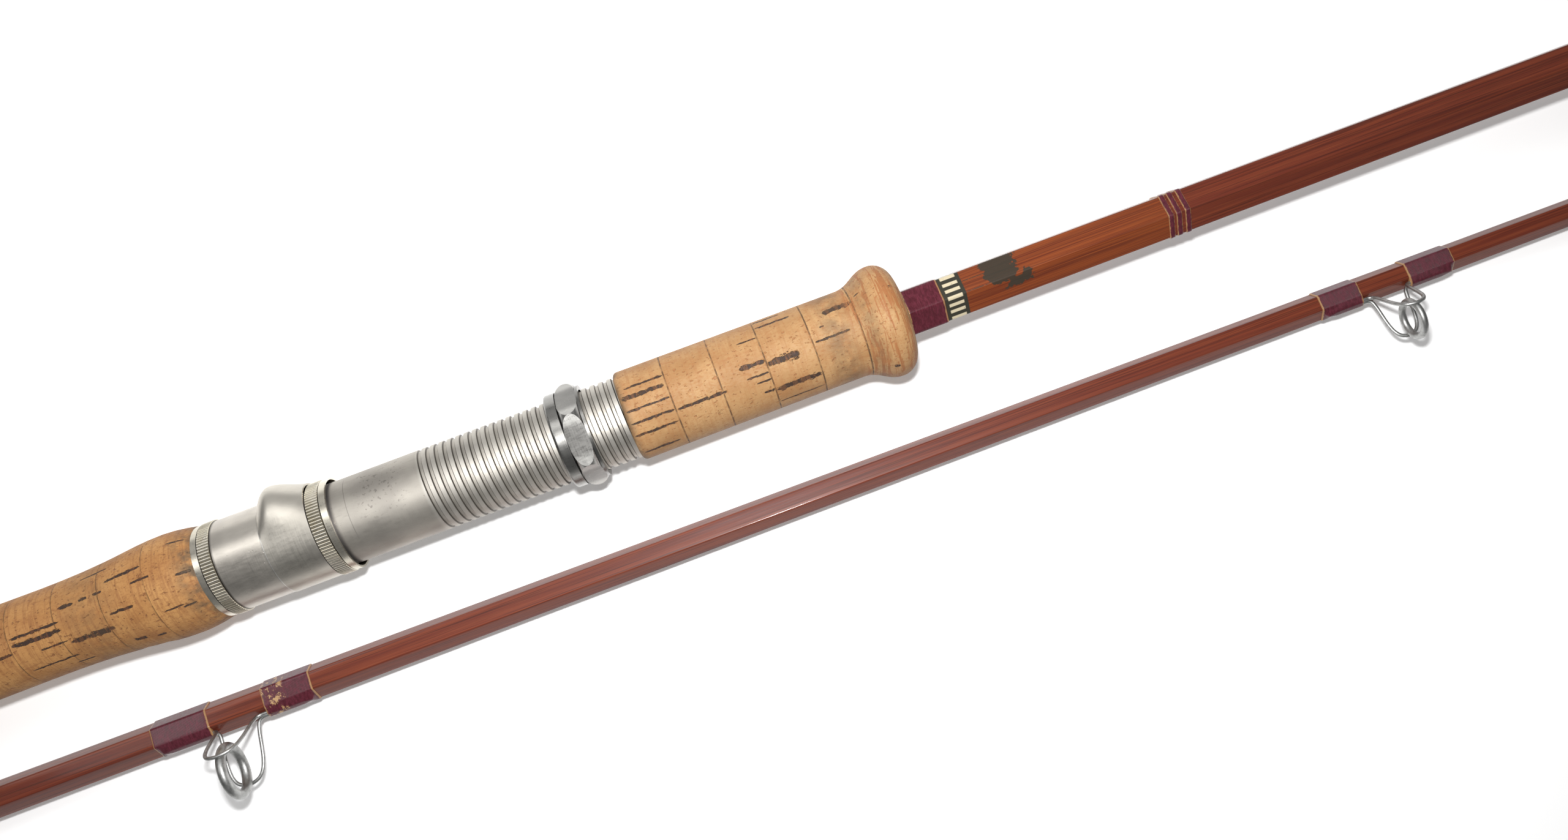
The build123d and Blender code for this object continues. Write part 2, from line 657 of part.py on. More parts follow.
def build_top_section():
    add_top("male_ferrule", male_ferrule())
    silk_end = TOP_STATION_END - FERRULE_SILK_SETBACK
    top_silk = silk_tube(silk_end - FERRULE_SILK_LENGTH, silk_end, TOP_STATION_RADIUS)
    add_top("top_ferrule_whipping", top_silk)
    add_top("top_cane", top_cane())
    for spec in TOP_GUIDES:
        guide(spec, top_width, add_top)
    add_top("tip_tube", tip_tube())
    add_top("tip_ring", tip_ring())
    add_top("tip_stays", tip_stays())
    tube_start = TOP_LENGTH - TIP_BACK - TIP_TUBE_LENGTH
    silk_end = tube_start - WHIPPING
    add_top("tip_whipping", whipping(silk_end - TIP_WHIPPING_LENGTH, silk_end, top_width))


os.makedirs("parts", exist_ok=True)
build_handle()
build_butt_section()
build_top_section()
for node, solid in built.items():
    export_step(solid, "parts/" + node + ".step")
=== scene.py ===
import math

import bmesh
import bpy
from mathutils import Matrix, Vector, noise


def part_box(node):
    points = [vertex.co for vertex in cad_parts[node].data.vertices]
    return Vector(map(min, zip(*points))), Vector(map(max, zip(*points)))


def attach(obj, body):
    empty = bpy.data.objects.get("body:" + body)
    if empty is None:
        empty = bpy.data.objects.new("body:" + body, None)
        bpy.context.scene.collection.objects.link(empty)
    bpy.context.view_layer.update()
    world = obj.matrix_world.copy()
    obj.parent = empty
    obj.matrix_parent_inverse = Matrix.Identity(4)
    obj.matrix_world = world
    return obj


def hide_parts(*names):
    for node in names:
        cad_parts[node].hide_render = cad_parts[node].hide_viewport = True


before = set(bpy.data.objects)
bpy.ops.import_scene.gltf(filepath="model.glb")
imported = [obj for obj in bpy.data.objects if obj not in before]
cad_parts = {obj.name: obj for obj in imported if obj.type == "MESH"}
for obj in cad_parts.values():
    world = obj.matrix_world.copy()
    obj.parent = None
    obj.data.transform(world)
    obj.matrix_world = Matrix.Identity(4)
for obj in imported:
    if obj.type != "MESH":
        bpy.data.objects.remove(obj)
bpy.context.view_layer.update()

MM = 0.001

# How far each section and the hood are turned about the rod, as in the model.
BUTT_ROLL = math.radians(-81)
TOP_ROLL = math.radians(50)
HOOD_ROLL = math.radians(-62)

# Shapes of the pieces that are made here, in mm.
CORK_RING = 12.7
CORK_RADIUS = 11.9
FORE_RINGS = 6
REAR_RINGS = 30
CANE_ROUNDING = 0.05        # of the cane's corners, as a share of its width
CANE_UNEVENNESS = 0.035
BUMPS_ALONG = 28            # cells of the unevenness's noise in a metre of cane
BUMPS_AROUND = 3            # and from the middle of the cane to its skin
CANE_INSET = 0.02           # takes back some of the unevenness, to keep the model's size
SILK = 0.3                  # thickness of a whipping
SILK_STEP = 0.7
GLUE_GAP = 0.05             # under a guide's foot
HOOD_RADIUS = 12.4
HOOD_WALL = 0.48            # a hair thinner than the model's, to stay clear of what is inside
HOOD_RISE = 3.8             # of the pocket's crest
POCKET_CREST = 4.2          # how far the crest is from the pocket's closed end
POCKET_END = 14.0           # where the pocket has sunk to a fifth of its rise
POCKET_HALF_ANGLE = math.radians(62)

# Places on the butt section's cane, in mm from the front of the fore grip.
LIGHT_WINDOW = (10.0, 71.5)
LABEL = (10.35, 16.3)
LABEL_BLOCKS = (11.3, 15.3)
TRANSFER = (22.2, 30.6)
TRANSFER_TAIL = (27.0, 34.6)


# ---- where things are, from the frame
def low(node):
    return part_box(node)[0]


def high(node):
    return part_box(node)[1]


class Section:
    """One half of the rod: its axis in the row frame, and which way its guides point."""

    def __init__(self, body, axis_node, roll):
        middle = (low(axis_node) + high(axis_node)) / 2
        self.body = body
        self.y = middle.y
        self.z = middle.z
        self.cos = math.cos(roll)
        self.sin = math.sin(roll)

    def point(self, x, y, z):
        """A point of the row frame, from x along it (m) and y, z across it (mm) before it is turned."""
        across = (y * self.cos - z * self.sin) * MM
        up = (y * self.sin + z * self.cos) * MM
        return Vector((x, self.y + across, self.z + up))


BUTT = Section("butt_section", "seat_barrel", BUTT_ROLL)
TOP = Section("top_section", "male_ferrule", TOP_ROLL)
HOOD = Section("butt_section", "seat_barrel", HOOD_ROLL)
GRIP_FRONT = high("fore_cork_flare").x
SEAT_START = low("rear_collar").x


def along_seat(x):
    """x of the row frame (m) as mm along the reel seat, from the rear grip's cork."""
    return (x - SEAT_START) / MM


# Places on the reel seat, as along_seat gives them, and radii there.
REAR_BEADS = (1.6, along_seat(high("rear_collar").x))
HOOD_START = along_seat(low("reel_hood").x)
HOOD_BEADS = (along_seat(low("hood_mouth_ring").x), 34.6)
HOOD_MOUTH = along_seat(high("hood_mouth_ring").x)
SCRIBED_LINE = 40.6
WORN_MARKS = (44.0, 56.0)
THREAD_START = 60.7
THREAD_DEPTH = 0.55
BARREL_RADIUS = (high("seat_barrel").z - low("seat_barrel").z) / 2 / MM
BEAD_GROOVE_RADIUS = 12.3


# ---- node graphs
class Graph:
    """A new material and its nodes, with short calls for the kinds used here."""

    def __init__(self, name):
        self.material = bpy.data.materials.new(name)
        self.material.use_nodes = True
        self.tree = self.material.node_tree
        self.shader = self.tree.nodes["Principled BSDF"]

    def node(self, kind, inputs, **settings):
        made = self.tree.nodes.new(kind)
        for key, value in settings.items():
            setattr(made, key, value)
        for socket, value in inputs.items():
            self.plug(made.inputs[socket], value)
        return made

    def plug(self, socket, value):
        if isinstance(value, bpy.types.NodeSocket):
            self.tree.links.new(value, socket)
        else:
            socket.default_value = value

    def set(self, **inputs):
        for name, value in inputs.items():
            self.plug(self.shader.inputs[name.replace("_", " ")], value)

    def math(self, operation, a, b=0.0):
        return self.node("ShaderNodeMath", {0: a, 1: b}, operation=operation).outputs[0]

    def vector(self, operation, inputs):
        return self.node("ShaderNodeVectorMath", inputs, operation=operation).outputs[0]

    def add(self, *values):
        total = values[0]
        for value in values[1:]:
            total = self.math("ADD", total, value)
        return total

    def subtract(self, a, b):
        return self.math("SUBTRACT", a, b)

    def times(self, *values):
        total = values[0]
        for value in values[1:]:
            total = self.math("MULTIPLY", total, value)
        return total

    def most(self, *values):
        top = values[0]
        for value in values[1:]:
            top = self.math("MAXIMUM", top, value)
        return top

    def least(self, a, b):
        return self.math("MINIMUM", a, b)

    def invert(self, value):
        return self.math("SUBTRACT", 1.0, value)

    def fade(self, value, start, end, out_start=0.0, out_end=1.0):
        """Smoothly out_start below start and out_end above end."""
        inputs = {0: value, 1: start, 2: end, 3: out_start, 4: out_end}
        return self.node("ShaderNodeMapRange", inputs, interpolation_type="SMOOTHSTEP").outputs[0]

    def between(self, value, start, end, soft):
        """1 from start to end, fading over soft on either side."""
        rise = self.fade(value, start - soft, start + soft)
        fall = self.fade(value, end - soft, end + soft, 1.0, 0.0)
        return self.times(rise, fall)

    def mix(self, share, a, b):
        """Colour a, with share of colour b."""
        return self.node("ShaderNodeMix", {0: share, 6: a, 7: b}, data_type="RGBA").outputs[2]

    def around(self, section, start=0.0):
        """Position in mm from the section's axis, with x from start (m)."""
        place = self.node("ShaderNodeTexCoord", {}).outputs["Object"]
        origin = (start, section.y, section.z)
        moved = self.vector("SUBTRACT", {0: place, 1: origin})
        return self.vector("SCALE", {0: moved, 3: 1 / MM})

    def everywhere(self):
        """Position in mm in the piece's own frame."""
        place = self.node("ShaderNodeTexCoord", {}).outputs["Object"]
        return self.stretched(place, 1 / MM, 1 / MM, 1 / MM)

    def parts(self, vector):
        return self.node("ShaderNodeSeparateXYZ", {0: vector}).outputs

    def join(self, x, y, z):
        return self.node("ShaderNodeCombineXYZ", {0: x, 1: y, 2: z}).outputs[0]

    def stretched(self, vector, x, y, z):
        return self.vector("MULTIPLY", {0: vector, 1: (x, y, z)})

    def shifted(self, vector, offset):
        return self.vector("ADD", {0: vector, 1: offset})

    def noise(self, vector, scale=1.0, detail=2.0, roughness=0.5, distortion=0.0):
        inputs = {
            "Vector": vector,
            "Scale": scale,
            "Detail": detail,
            "Roughness": roughness,
            "Distortion": distortion,
        }
        return self.node("ShaderNodeTexNoise", inputs).outputs[0]

    def chance(self, value):
        return self.node("ShaderNodeTexWhiteNoise", {"W": value}, noise_dimensions="1D").outputs[0]

    def angle(self, y, z):
        """Angle about the rod in degrees: 0 on top, positive towards +Y."""
        return self.times(self.math("ARCTAN2", y, z), math.degrees(1))

    def radius(self, y, z):
        return self.math("SQRT", self.add(self.times(y, y), self.times(z, z)))

    def bump(self, height, depth):
        """Relief of the given depth in mm where height is 1."""
        inputs = {"Height": height, "Distance": depth * MM, "Strength": 1.0}
        return self.node("ShaderNodeBump", inputs).outputs[0]

    def attribute(self, name):
        return self.node("ShaderNodeAttribute", {}, attribute_name=name).outputs["Fac"]


def rgb(red, green, blue):
    return (red, green, blue, 1.0)


# ---- cork
FLARE_LINES = 63.0          # mm along the fore grip: from here its growth lines are strong


def ragged_mark(g, x, angle, wobble, mark):
    """A pore in the cork: a dark streak along the rod with ragged sides and blunt ends."""
    start, end, at, width = mark
    along = g.times(g.subtract(x, (start + end) / 2), 2 / (end - start))
    across = g.times(g.subtract(angle, at), math.radians(CORK_RADIUS * 2 / width))
    bent = g.add(across, wobble)
    return g.invert(g.add(g.math("POWER", g.math("ABSOLUTE", along), 6.0), g.times(bent, bent)))


def cork_pores(g, own, x, angle, grain, luck, marks, shown):
    """Dark pores, and a halo of the chance ones. The shown rings' upper side has only the listed pores."""
    wobble_place = g.stretched(own, 0.55, 1.6, 1.6)
    wobble = g.times(g.subtract(g.noise(wobble_place, detail=3.0, roughness=0.7), 0.5), 3.0)
    streak_place = g.stretched(own, 0.13, 0.62, 0.62)
    streaks = g.noise(streak_place, detail=3.0, roughness=0.6, distortion=0.25)
    rough = g.add(streaks, g.times(g.subtract(grain, 0.5), 0.10))
    over = g.subtract(rough, g.fade(luck, 0.0, 1.0, 0.66, 0.72))
    turned_up = g.fade(g.math("ABSOLUTE", angle), 95.0, 110.0, 1.0, 0.0)
    placed_by_hand = g.times(g.between(x, *shown, 0.05), turned_up)
    pores = g.times(g.fade(over, 0.0, 0.022), g.invert(placed_by_hand))
    for mark in marks:
        pores = g.most(pores, g.fade(ragged_mark(g, x, angle, wobble, mark), 0.05, 0.45))
    halo = g.fade(over, -0.06, 0.0, 0.0, 0.35)
    return g.times(pores, g.fade(grain, 0.30, 0.44, 0.35, 1.0)), halo


def cork_joints(g, place, x, ring, rings):
    """Glue lines between the rings, broken here and there, and none at the grip's two ends."""
    share = g.subtract(g.times(x, 1 / CORK_RING), ring)
    edge = g.least(share, g.invert(share))
    last = rings * CORK_RING
    inner = g.times(g.fade(x, 0.5, 0.7), g.fade(x, last - 0.7, last - 0.5, 1.0, 0.0))
    gaps = g.fade(g.noise(g.stretched(place, 0.4, 0.5, 0.5)), 0.35, 0.6, 0.35, 1.0)
    return g.times(g.fade(edge, 0.005, 0.016, 1.0, 0.0), inner, gaps)


def growth_lines(g, place, colour, red, strength):
    """Growth lines around the grip, and the small pores between them."""
    growth_place = g.stretched(place, 0.9, 0.07, 0.07)
    growth = g.noise(growth_place, detail=4.0, roughness=0.65, distortion=0.6)
    colour = g.mix(g.times(g.fade(growth, 0.51, 0.57), strength, 0.95), colour, red)
    small = g.noise(g.stretched(place, 1.3, 0.9, 0.9), detail=2.0)
    return g.mix(g.times(g.fade(small, 0.62, 0.68), strength, 0.9), colour, red)


def grip_grime_and_shade(g, place, x, colour, grime_and_shade):
    """Handling dirt, and painted shade at the grip's ends: places along the grip (mm), how far each
    reaches, and how dark it is.
    """
    smudge = g.noise(g.stretched(place, 0.25, 0.3, 0.3), detail=4.0, roughness=0.6)
    for at, reach, amount in grime_and_shade:
        near = g.fade(g.math("ABSOLUTE", g.subtract(x, at)), 0.0, reach, 1.0, 0.0)
        dirt_and_shade = g.times(near, g.fade(smudge, 0.30, 0.62), amount)
        colour = g.mix(dirt_and_shade, colour, rgb(0.10, 0.065, 0.035))
    return colour


def cork_material(name, start, rings, colours, marks, grime_and_shade, shown, joint_depth, growth):
    """Cork rings glued in a row from start (m): dark pores, growth lines, joints, grime, and painted shade
    at the grip's ends.

    shown is the stretch (mm) that the photograph shows, and growth the strength of the growth
    lines before and after FLARE_LINES.
    """
    pale, deep, dark, red = colours
    g = Graph(name)
    place = g.around(BUTT, start)
    x, y, z = g.parts(place)
    angle = g.angle(y, z)
    ring = g.math("FLOOR", g.times(x, 1 / CORK_RING))
    luck = g.chance(g.add(ring, 3.7))
    other = g.chance(g.add(ring, 31.3))
    own = g.shifted(place, g.join(g.times(luck, 90.0), g.times(other, 70.0), 0.0))

    cloud = g.noise(g.stretched(own, 0.10, 0.16, 0.16), detail=3.0)
    grain = g.noise(g.stretched(own, 1.1, 2.2, 2.2), detail=4.0, roughness=0.65)
    lines = g.noise(g.stretched(own, 0.75, 0.10, 0.10), detail=3.0, roughness=0.7, distortion=0.6)
    colour = g.mix(g.fade(cloud, 0.35, 0.68), pale, deep)
    colour = g.mix(g.fade(lines, 0.56, 0.66, 0.0, 0.55), colour, deep)
    colour = g.mix(g.fade(grain, 0.48, 0.68, 0.0, 0.45), colour, red)
    colour = g.mix(g.fade(luck, 0.0, 1.0, 0.0, 0.30), colour, deep)

    pores, halo = cork_pores(g, own, x, angle, grain, other, marks, shown)
    speck = g.noise(g.stretched(own, 0.9, 1.3, 1.3), detail=2.0)
    specks = g.fade(speck, 0.64, 0.70, 0.0, 0.70)
    joint = cork_joints(g, place, x, ring, rings)
    colour = g.mix(halo, colour, red)
    colour = g.mix(specks, colour, red)
    colour = g.mix(pores, colour, dark)
    colour = g.mix(g.times(joint, joint_depth), colour, dark)
    strength = g.fade(x, FLARE_LINES - 2.0, FLARE_LINES, *growth)
    colour = growth_lines(g, place, colour, red, strength)
    colour = grip_grime_and_shade(g, place, x, colour, grime_and_shade)

    hollow = g.most(pores, joint, g.times(specks, 0.6))
    relief = g.add(g.times(grain, 0.16), g.times(hollow, -0.9), g.times(lines, 0.10))
    g.set(
        Base_Color=colour,
        Roughness=g.fade(grain, 0.3, 0.7, 0.62, 0.80),
        Normal=g.bump(relief, 0.30),
    )
    return g.material


# Streaks on the fore grip, as judged: start and end along it (mm), angle about it (degrees),
# width (mm).
FORE_MARKS = (
    (1.8, 12.6, 30, 0.7),
    (0.4, 12.2, 17, 1.1),
    (0.6, 12.6, 0, 0.6),
    (0.6, 12.7, -16, 0.7),
    (0.4, 12.6, -32, 0.8),
    (1.0, 11.2, -62, 0.9),
    (12.9, 26.6, -18, 0.8),
    (32.5, 38.0, 34, 0.4),
    (30.9, 38.0, 1, 1.4),
    (31.9, 38.0, -14, 0.6),
    (34.0, 38.0, -23, 0.5),
    (35.1, 38.0, -38, 0.8),
    (38.2, 45.7, 66, 0.9),
    (38.2, 47.9, 50, 0.8),
    (38.2, 46.9, -5, 2.0),
    (38.2, 50.7, -40, 1.5),
    (38.2, 50.7, -62, 0.5),
    (55.5, 63.4, 34, 1.5),
    (51.3, 60.9, 0, 0.6),
    (53.7, 54.9, 16, 0.5),
    (68.6, 70.0, -58, 0.9),
    (64.6, 65.9, 38, 0.4),
    (73.0, 74.4, 28, 0.4),
)
# The same on the last rings of the rear grip.
REAR_MARKS = (
    (324.5, 330.4, -14, 0.9),
    (330.6, 344.4, 4, 0.8),
    (330.6, 344.4, -6, 1.3),
    (337.0, 344.4, -22, 0.6),
    (331.6, 344.8, -46, 0.6),
    (342.2, 347.0, -60, 0.5),
    (344.6, 349.0, 20, 0.9),
    (350.4, 352.8, 20, 0.9),
    (344.6, 357.0, -26, 1.5),
    (350.6, 358.6, 50, 0.5),
    (354.4, 357.0, 20, 0.6),
    (357.2, 364.0, -9, 0.7),
    (357.6, 368.4, 30, 0.8),
    (364.8, 370.2, 15, 0.6),
    (358.8, 362.0, -52, 1.3),
    (364.4, 367.0, -55, 1.1),
    (370.4, 375.6, -27, 0.4),
    (375.0, 378.6, -30, 0.5),
    (376.4, 380.4, 6, 0.7),
    (374.8, 379.8, 48, 0.5),
)


def fore_cork():
    return cork_material(
        name="fore_cork",
        start=low("fore_cork_ring_1").x,
        rings=FORE_RINGS,
        colours=(
            rgb(0.420, 0.245, 0.104),
            rgb(0.330, 0.172, 0.064),
            rgb(0.035, 0.017, 0.010),
            rgb(0.300, 0.115, 0.035),
        ),
        marks=FORE_MARKS,
        # Darkening at the grip's two ends, next to the lock collar and the cane, is painted shade; the two
        # places between are handling dirt.
        grime_and_shade=((0.0, 2.5, 0.8), (57.5, 6.0, 0.50), (66.0, 3.5, 0.40), (76.2, 3.0, 0.25)),
        shown=(0.0, 90.0),
        joint_depth=0.75,
        growth=(0.25, 1.0),
    )


def rear_cork():
    return cork_material(
        name="rear_cork",
        start=low("rear_grip_cork_rings").x,
        rings=REAR_RINGS,
        colours=(
            rgb(0.460, 0.235, 0.078),
            rgb(0.355, 0.162, 0.048),
            rgb(0.030, 0.014, 0.009),
            rgb(0.200, 0.070, 0.022),
        ),
        marks=REAR_MARKS,
        # Darkening at 381 mm, the grip's end against the rear collar, is painted shade; at 352 mm it is
        # handling dirt.
        grime_and_shade=((381.0, 7.0, 0.95), (352.0, 12.0, 0.30)),
        shown=(320.0, 390.0),
        joint_depth=0.30,
        growth=(0.35, 0.35),
    )


# ---- metals
METAL_STAIN = rgb(0.090, 0.080, 0.075)


def satin_metal(name, section, start, colours, roughness, wear):
    """Turned aluminium: fine turning lines, handling scuffs, small dark pits and a dull film."""
    bright, dull, stain = colours
    g = Graph(name)
    place = g.around(section, start)
    x, y, z = g.parts(place)
    radius = g.radius(y, z)
    turned = g.join(g.times(x, 5.0), radius, g.times(g.angle(y, z), 0.008))
    turning = g.noise(turned, detail=4.0, roughness=0.7)
    scuff = g.noise(g.stretched(place, 0.35, 1.4, 1.4), detail=5.0, roughness=0.7)
    film = g.noise(g.stretched(place, 0.07, 0.10, 0.10), detail=3.0)
    pit = g.noise(g.stretched(place, 1.5, 1.6, 1.6), detail=1.0)
    pits = g.times(g.fade(pit, 0.76, 0.81), wear)
    colour = g.mix(g.fade(film, 0.35, 0.68), bright, dull)
    colour = g.mix(g.fade(scuff, 0.50, 0.80, 0.0, 0.45), colour, dull)
    colour = g.mix(g.times(pits, 0.7), colour, stain)
    lines = g.times(g.subtract(turning, 0.5), 0.16)
    shine = g.add(roughness, lines, g.times(g.subtract(scuff, 0.5), 0.22))
    relief = g.add(g.times(turning, 0.8), g.times(scuff, 0.5), g.times(pits, -3.0))
    g.set(Metallic=1.0, Base_Color=colour, Roughness=shine, Normal=g.bump(relief, 0.012))
    return g, x, y, z, radius, colour


def seat_aluminium(name, bright, roughness):
    """The seat's plain metal, with its two main colours made brighter or darker by one factor."""
    shiny = rgb(0.540 * bright, 0.505 * bright, 0.450 * bright)
    dull = rgb(0.410 * bright, 0.382 * bright, 0.342 * bright)
    colours = (shiny, dull, METAL_STAIN)
    return satin_metal(name, BUTT, SEAT_START, colours, roughness, 0.6)


def barrel_metal():
    """The barrel: dirt and painted shade on its thread's flanks, bright crests, old marks, and painted
    shade at the hood's mouth.
    """
    g, x, y, z, radius, colour = seat_aluminium("barrel_aluminium", 0.84, 0.55)
    thread = g.fade(x, THREAD_START - 0.7, THREAD_START + 0.3)
    root = BARREL_RADIUS - THREAD_DEPTH
    # Painted shade, with dirt, on the thread's flanks.
    flanks = g.times(g.between(radius, root + 0.05, BARREL_RADIUS - 0.10, 0.04), thread)
    colour = g.mix(g.times(flanks, 0.8), colour, rgb(0.12, 0.11, 0.10))
    crest = g.times(g.fade(radius, BARREL_RADIUS - 0.10, BARREL_RADIUS - 0.02), thread)
    colour = g.mix(g.times(crest, 0.25), colour, rgb(0.72, 0.70, 0.65))
    angle = g.angle(y, z)
    patch = g.times(g.between(x, *WORN_MARKS, 2.0), g.between(angle, -12.0, 62.0, 8.0))
    fleck = g.noise(g.stretched(g.around(BUTT), 1.0, 1.1, 1.1), detail=3.0, roughness=0.6)
    marks = g.times(patch, g.fade(fleck, 0.58, 0.64), 0.55)
    colour = g.mix(marks, colour, rgb(0.16, 0.14, 0.13))
    line = g.between(x, SCRIBED_LINE, SCRIBED_LINE + 0.15, 0.04)
    scribe = g.times(line, g.between(angle, -25.0, 60.0, 10.0), 0.6)
    colour = g.mix(scribe, colour, rgb(0.15, 0.14, 0.13))
    # Painted shade on the barrel just under and past the hood's mouth ring.
    mouth = g.fade(x, HOOD_MOUTH + 0.1, HOOD_MOUTH + 1.3, 0.8, 0.0)
    past_lip = g.fade(x, HOOD_MOUTH - 0.3, HOOD_MOUTH - 0.1)
    colour = g.mix(g.times(mouth, past_lip), colour, rgb(0.10, 0.09, 0.09))
    g.set(Base_Color=colour)
    return g.material


def sleeve_metal():
    """The plain sleeve, with painted shade where it meets the rear collar and the hood."""
    g, x, y, z, radius, colour = seat_aluminium("sleeve_aluminium", 1.25, 0.38)
    # Painted shade next to the rear collar's beads and under the hood's rear edge.
    rear = g.fade(x, REAR_BEADS[1], REAR_BEADS[1] + 0.6, 0.8, 0.0)
    front = g.fade(x, HOOD_START - 0.3, HOOD_START, 0.0, 0.5)
    g.set(Base_Color=g.mix(g.most(rear, front), colour, rgb(0.12, 0.11, 0.10)))
    return g.material


def beaded_metal():
    """The two beaded rings: dirt and painted shade lie between their beads."""
    colours = (rgb(0.720, 0.675, 0.580), rgb(0.590, 0.550, 0.450), METAL_STAIN)
    g, x, y, z, radius, colour = satin_metal("beaded_aluminium", BUTT, SEAT_START, colours, 0.30, 0.3)
    bead = g.most(g.between(x, *REAR_BEADS, 0.02), g.between(x, *HOOD_BEADS, 0.02))
    # Painted shade, with dirt, in the grooves between the beads.
    between_beads = g.fade(radius, BEAD_GROOVE_RADIUS + 0.01, BEAD_GROOVE_RADIUS + 0.12, 1.0, 0.0)
    dirt_and_shade = g.times(bead, between_beads)
    film = g.noise(g.stretched(g.around(BUTT), 0.3, 0.25, 0.25), detail=4.0)
    colour = g.mix(g.times(bead, g.fade(film, 0.4, 0.6, 0.0, 0.30)), colour, rgb(0.50, 0.43, 0.28))
    g.set(Base_Color=g.mix(g.times(dirt_and_shade, 0.9), colour, rgb(0.055, 0.045, 0.035)))
    return g.material


def nut_metal():
    """The hexagon nut is a darker alloy, polished bright along its worn corners."""
    colours = (rgb(0.235, 0.229, 0.217), rgb(0.178, 0.174, 0.165), rgb(0.070, 0.068, 0.065))
    g, x, y, z, radius, colour = satin_metal("nut_aluminium", BUTT, SEAT_START, colours, 0.30, 0.35)
    worn = g.fade(radius, 12.35, 13.1)
    colour = g.mix(g.times(worn, 0.45), colour, rgb(0.62, 0.61, 0.58))
    g.set(Base_Color=colour)
    return g.material


def guide_metal():
    """Hardened steel wire gone grey, with darker stains."""
    g = Graph("guide_steel")
    place = g.everywhere()
    film = g.noise(place, 0.5, 4.0, 0.6)
    spots = g.noise(place, 3.0, 3.0, 0.6)
    colour = g.mix(g.fade(film, 0.35, 0.7), rgb(0.44, 0.44, 0.43), rgb(0.30, 0.30, 0.29))
    colour = g.mix(g.fade(spots, 0.62, 0.75, 0.0, 0.6), colour, rgb(0.12, 0.10, 0.08))
    g.set(
        Metallic=1.0,
        Base_Color=colour,
        Roughness=g.fade(spots, 0.3, 0.7, 0.38, 0.52),
        Normal=g.bump(spots, 0.01),
    )
    return g.material


def nickel_silver():
    """Ferrules: drawn tube with a faint yellow cast, polished lengthwise by use."""
    g = Graph("nickel_silver")
    place = g.everywhere()
    draw = g.noise(g.stretched(place, 0.12, 5.0, 5.0), detail=4.0, roughness=0.7)
    film = g.noise(g.stretched(place, 0.12, 0.4, 0.4), detail=4.0)
    colour = g.mix(g.fade(film, 0.4, 0.7), rgb(0.66, 0.61, 0.50), rgb(0.44, 0.39, 0.29))
    colour = g.mix(g.fade(draw, 0.55, 0.75, 0.0, 0.3), colour, rgb(0.25, 0.21, 0.15))
    g.set(
        Metallic=1.0,
        Base_Color=colour,
        Roughness=g.fade(draw, 0.3, 0.7, 0.18, 0.36),
        Normal=g.bump(draw, 0.008),
    )
    return g.material


def rubber():
    """The rubber button: brown-black, dull and scuffed on its rim."""
    g = Graph("rubber")
    place = g.around(BUTT, low("rubber_button").x)
    x, y, z = g.parts(place)
    grain = g.noise(place, 2.5, 5.0, 0.7)
    scuff = g.noise(g.stretched(place, 0.5, 0.25, 0.25), detail=4.0)
    worn = g.times(g.fade(scuff, 0.45, 0.65), g.fade(x, 0.0, 4.0, 0.55, 0.15))
    colour = g.mix(worn, rgb(0.030, 0.022, 0.018), rgb(0.105, 0.085, 0.070))
    g.set(Base_Color=colour, Roughness=g.fade(grain, 0.3, 0.7, 0.50, 0.72), Normal=g.bump(grain, 0.06))
    return g.material


def cap_metal():
    """The cup on the butt: the same aluminium as the seat's, more worn."""
    colours = (rgb(0.600, 0.585, 0.545), rgb(0.470, 0.455, 0.425), METAL_STAIN)
    g, *_ = satin_metal("cap_aluminium", BUTT, low("butt_cap").x, colours, 0.33, 0.7)
    return g.material


def arbor_wood():
    """Pale straight-grained wood of the bushing and the plug."""
    g = Graph("arbor_wood")
    place = g.around(BUTT)
    grain = g.noise(g.stretched(place, 0.05, 1.2, 1.2), detail=4.0, roughness=0.6)
    colour = g.mix(g.fade(grain, 0.35, 0.65), rgb(0.48, 0.33, 0.19), rgb(0.30, 0.18, 0.09))
    g.set(Base_Color=colour, Roughness=g.fade(grain, 0.3, 0.7, 0.5, 0.7), Normal=g.bump(grain, 0.05))
    return g.material


# ---- cane and silk
def cane_colour(g, place):
    """Split cane under varnish: close dark fibres in a red-brown ground."""
    fibres = g.noise(g.stretched(place, 0.018, 3.2, 3.2), detail=4.0, roughness=0.65)
    fine = g.noise(g.stretched(place, 0.05, 11.0, 11.0), detail=2.0)
    broad = g.noise(g.stretched(place, 0.006, 0.7, 0.7), detail=2.0)
    ground = g.mix(g.fade(broad, 0.35, 0.65), rgb(0.112, 0.020, 0.010), rgb(0.162, 0.033, 0.014))
    colour = g.mix(g.fade(fibres, 0.48, 0.62, 0.0, 0.85), ground, rgb(0.060, 0.012, 0.007))
    colour = g.mix(g.fade(fine, 0.55, 0.70, 0.0, 0.45), colour, rgb(0.215, 0.058, 0.018))
    return colour, fibres, fine


def varnish(g, colour, fibres, fine):
    g.set(
        Base_Color=colour,
        Roughness=g.fade(fine, 0.3, 0.7, 0.36, 0.50),
        Specular_IOR_Level=0.20,
        Coat_Weight=0.45,
        Coat_Roughness=0.10,
        Coat_IOR=1.4,
        Normal=g.bump(g.add(g.times(fibres, 0.6), g.times(fine, 0.4)), 0.02),
    )


def top_cane_material():
    g = Graph("top_cane_varnished")
    colour, fibres, fine = cane_colour(g, g.around(TOP))
    varnish(g, colour, fibres, fine)
    return g.material


BLOCK_STEP = 19.0           # degrees from one cream block of the label to the next
INK = rgb(0.030, 0.028, 0.020)


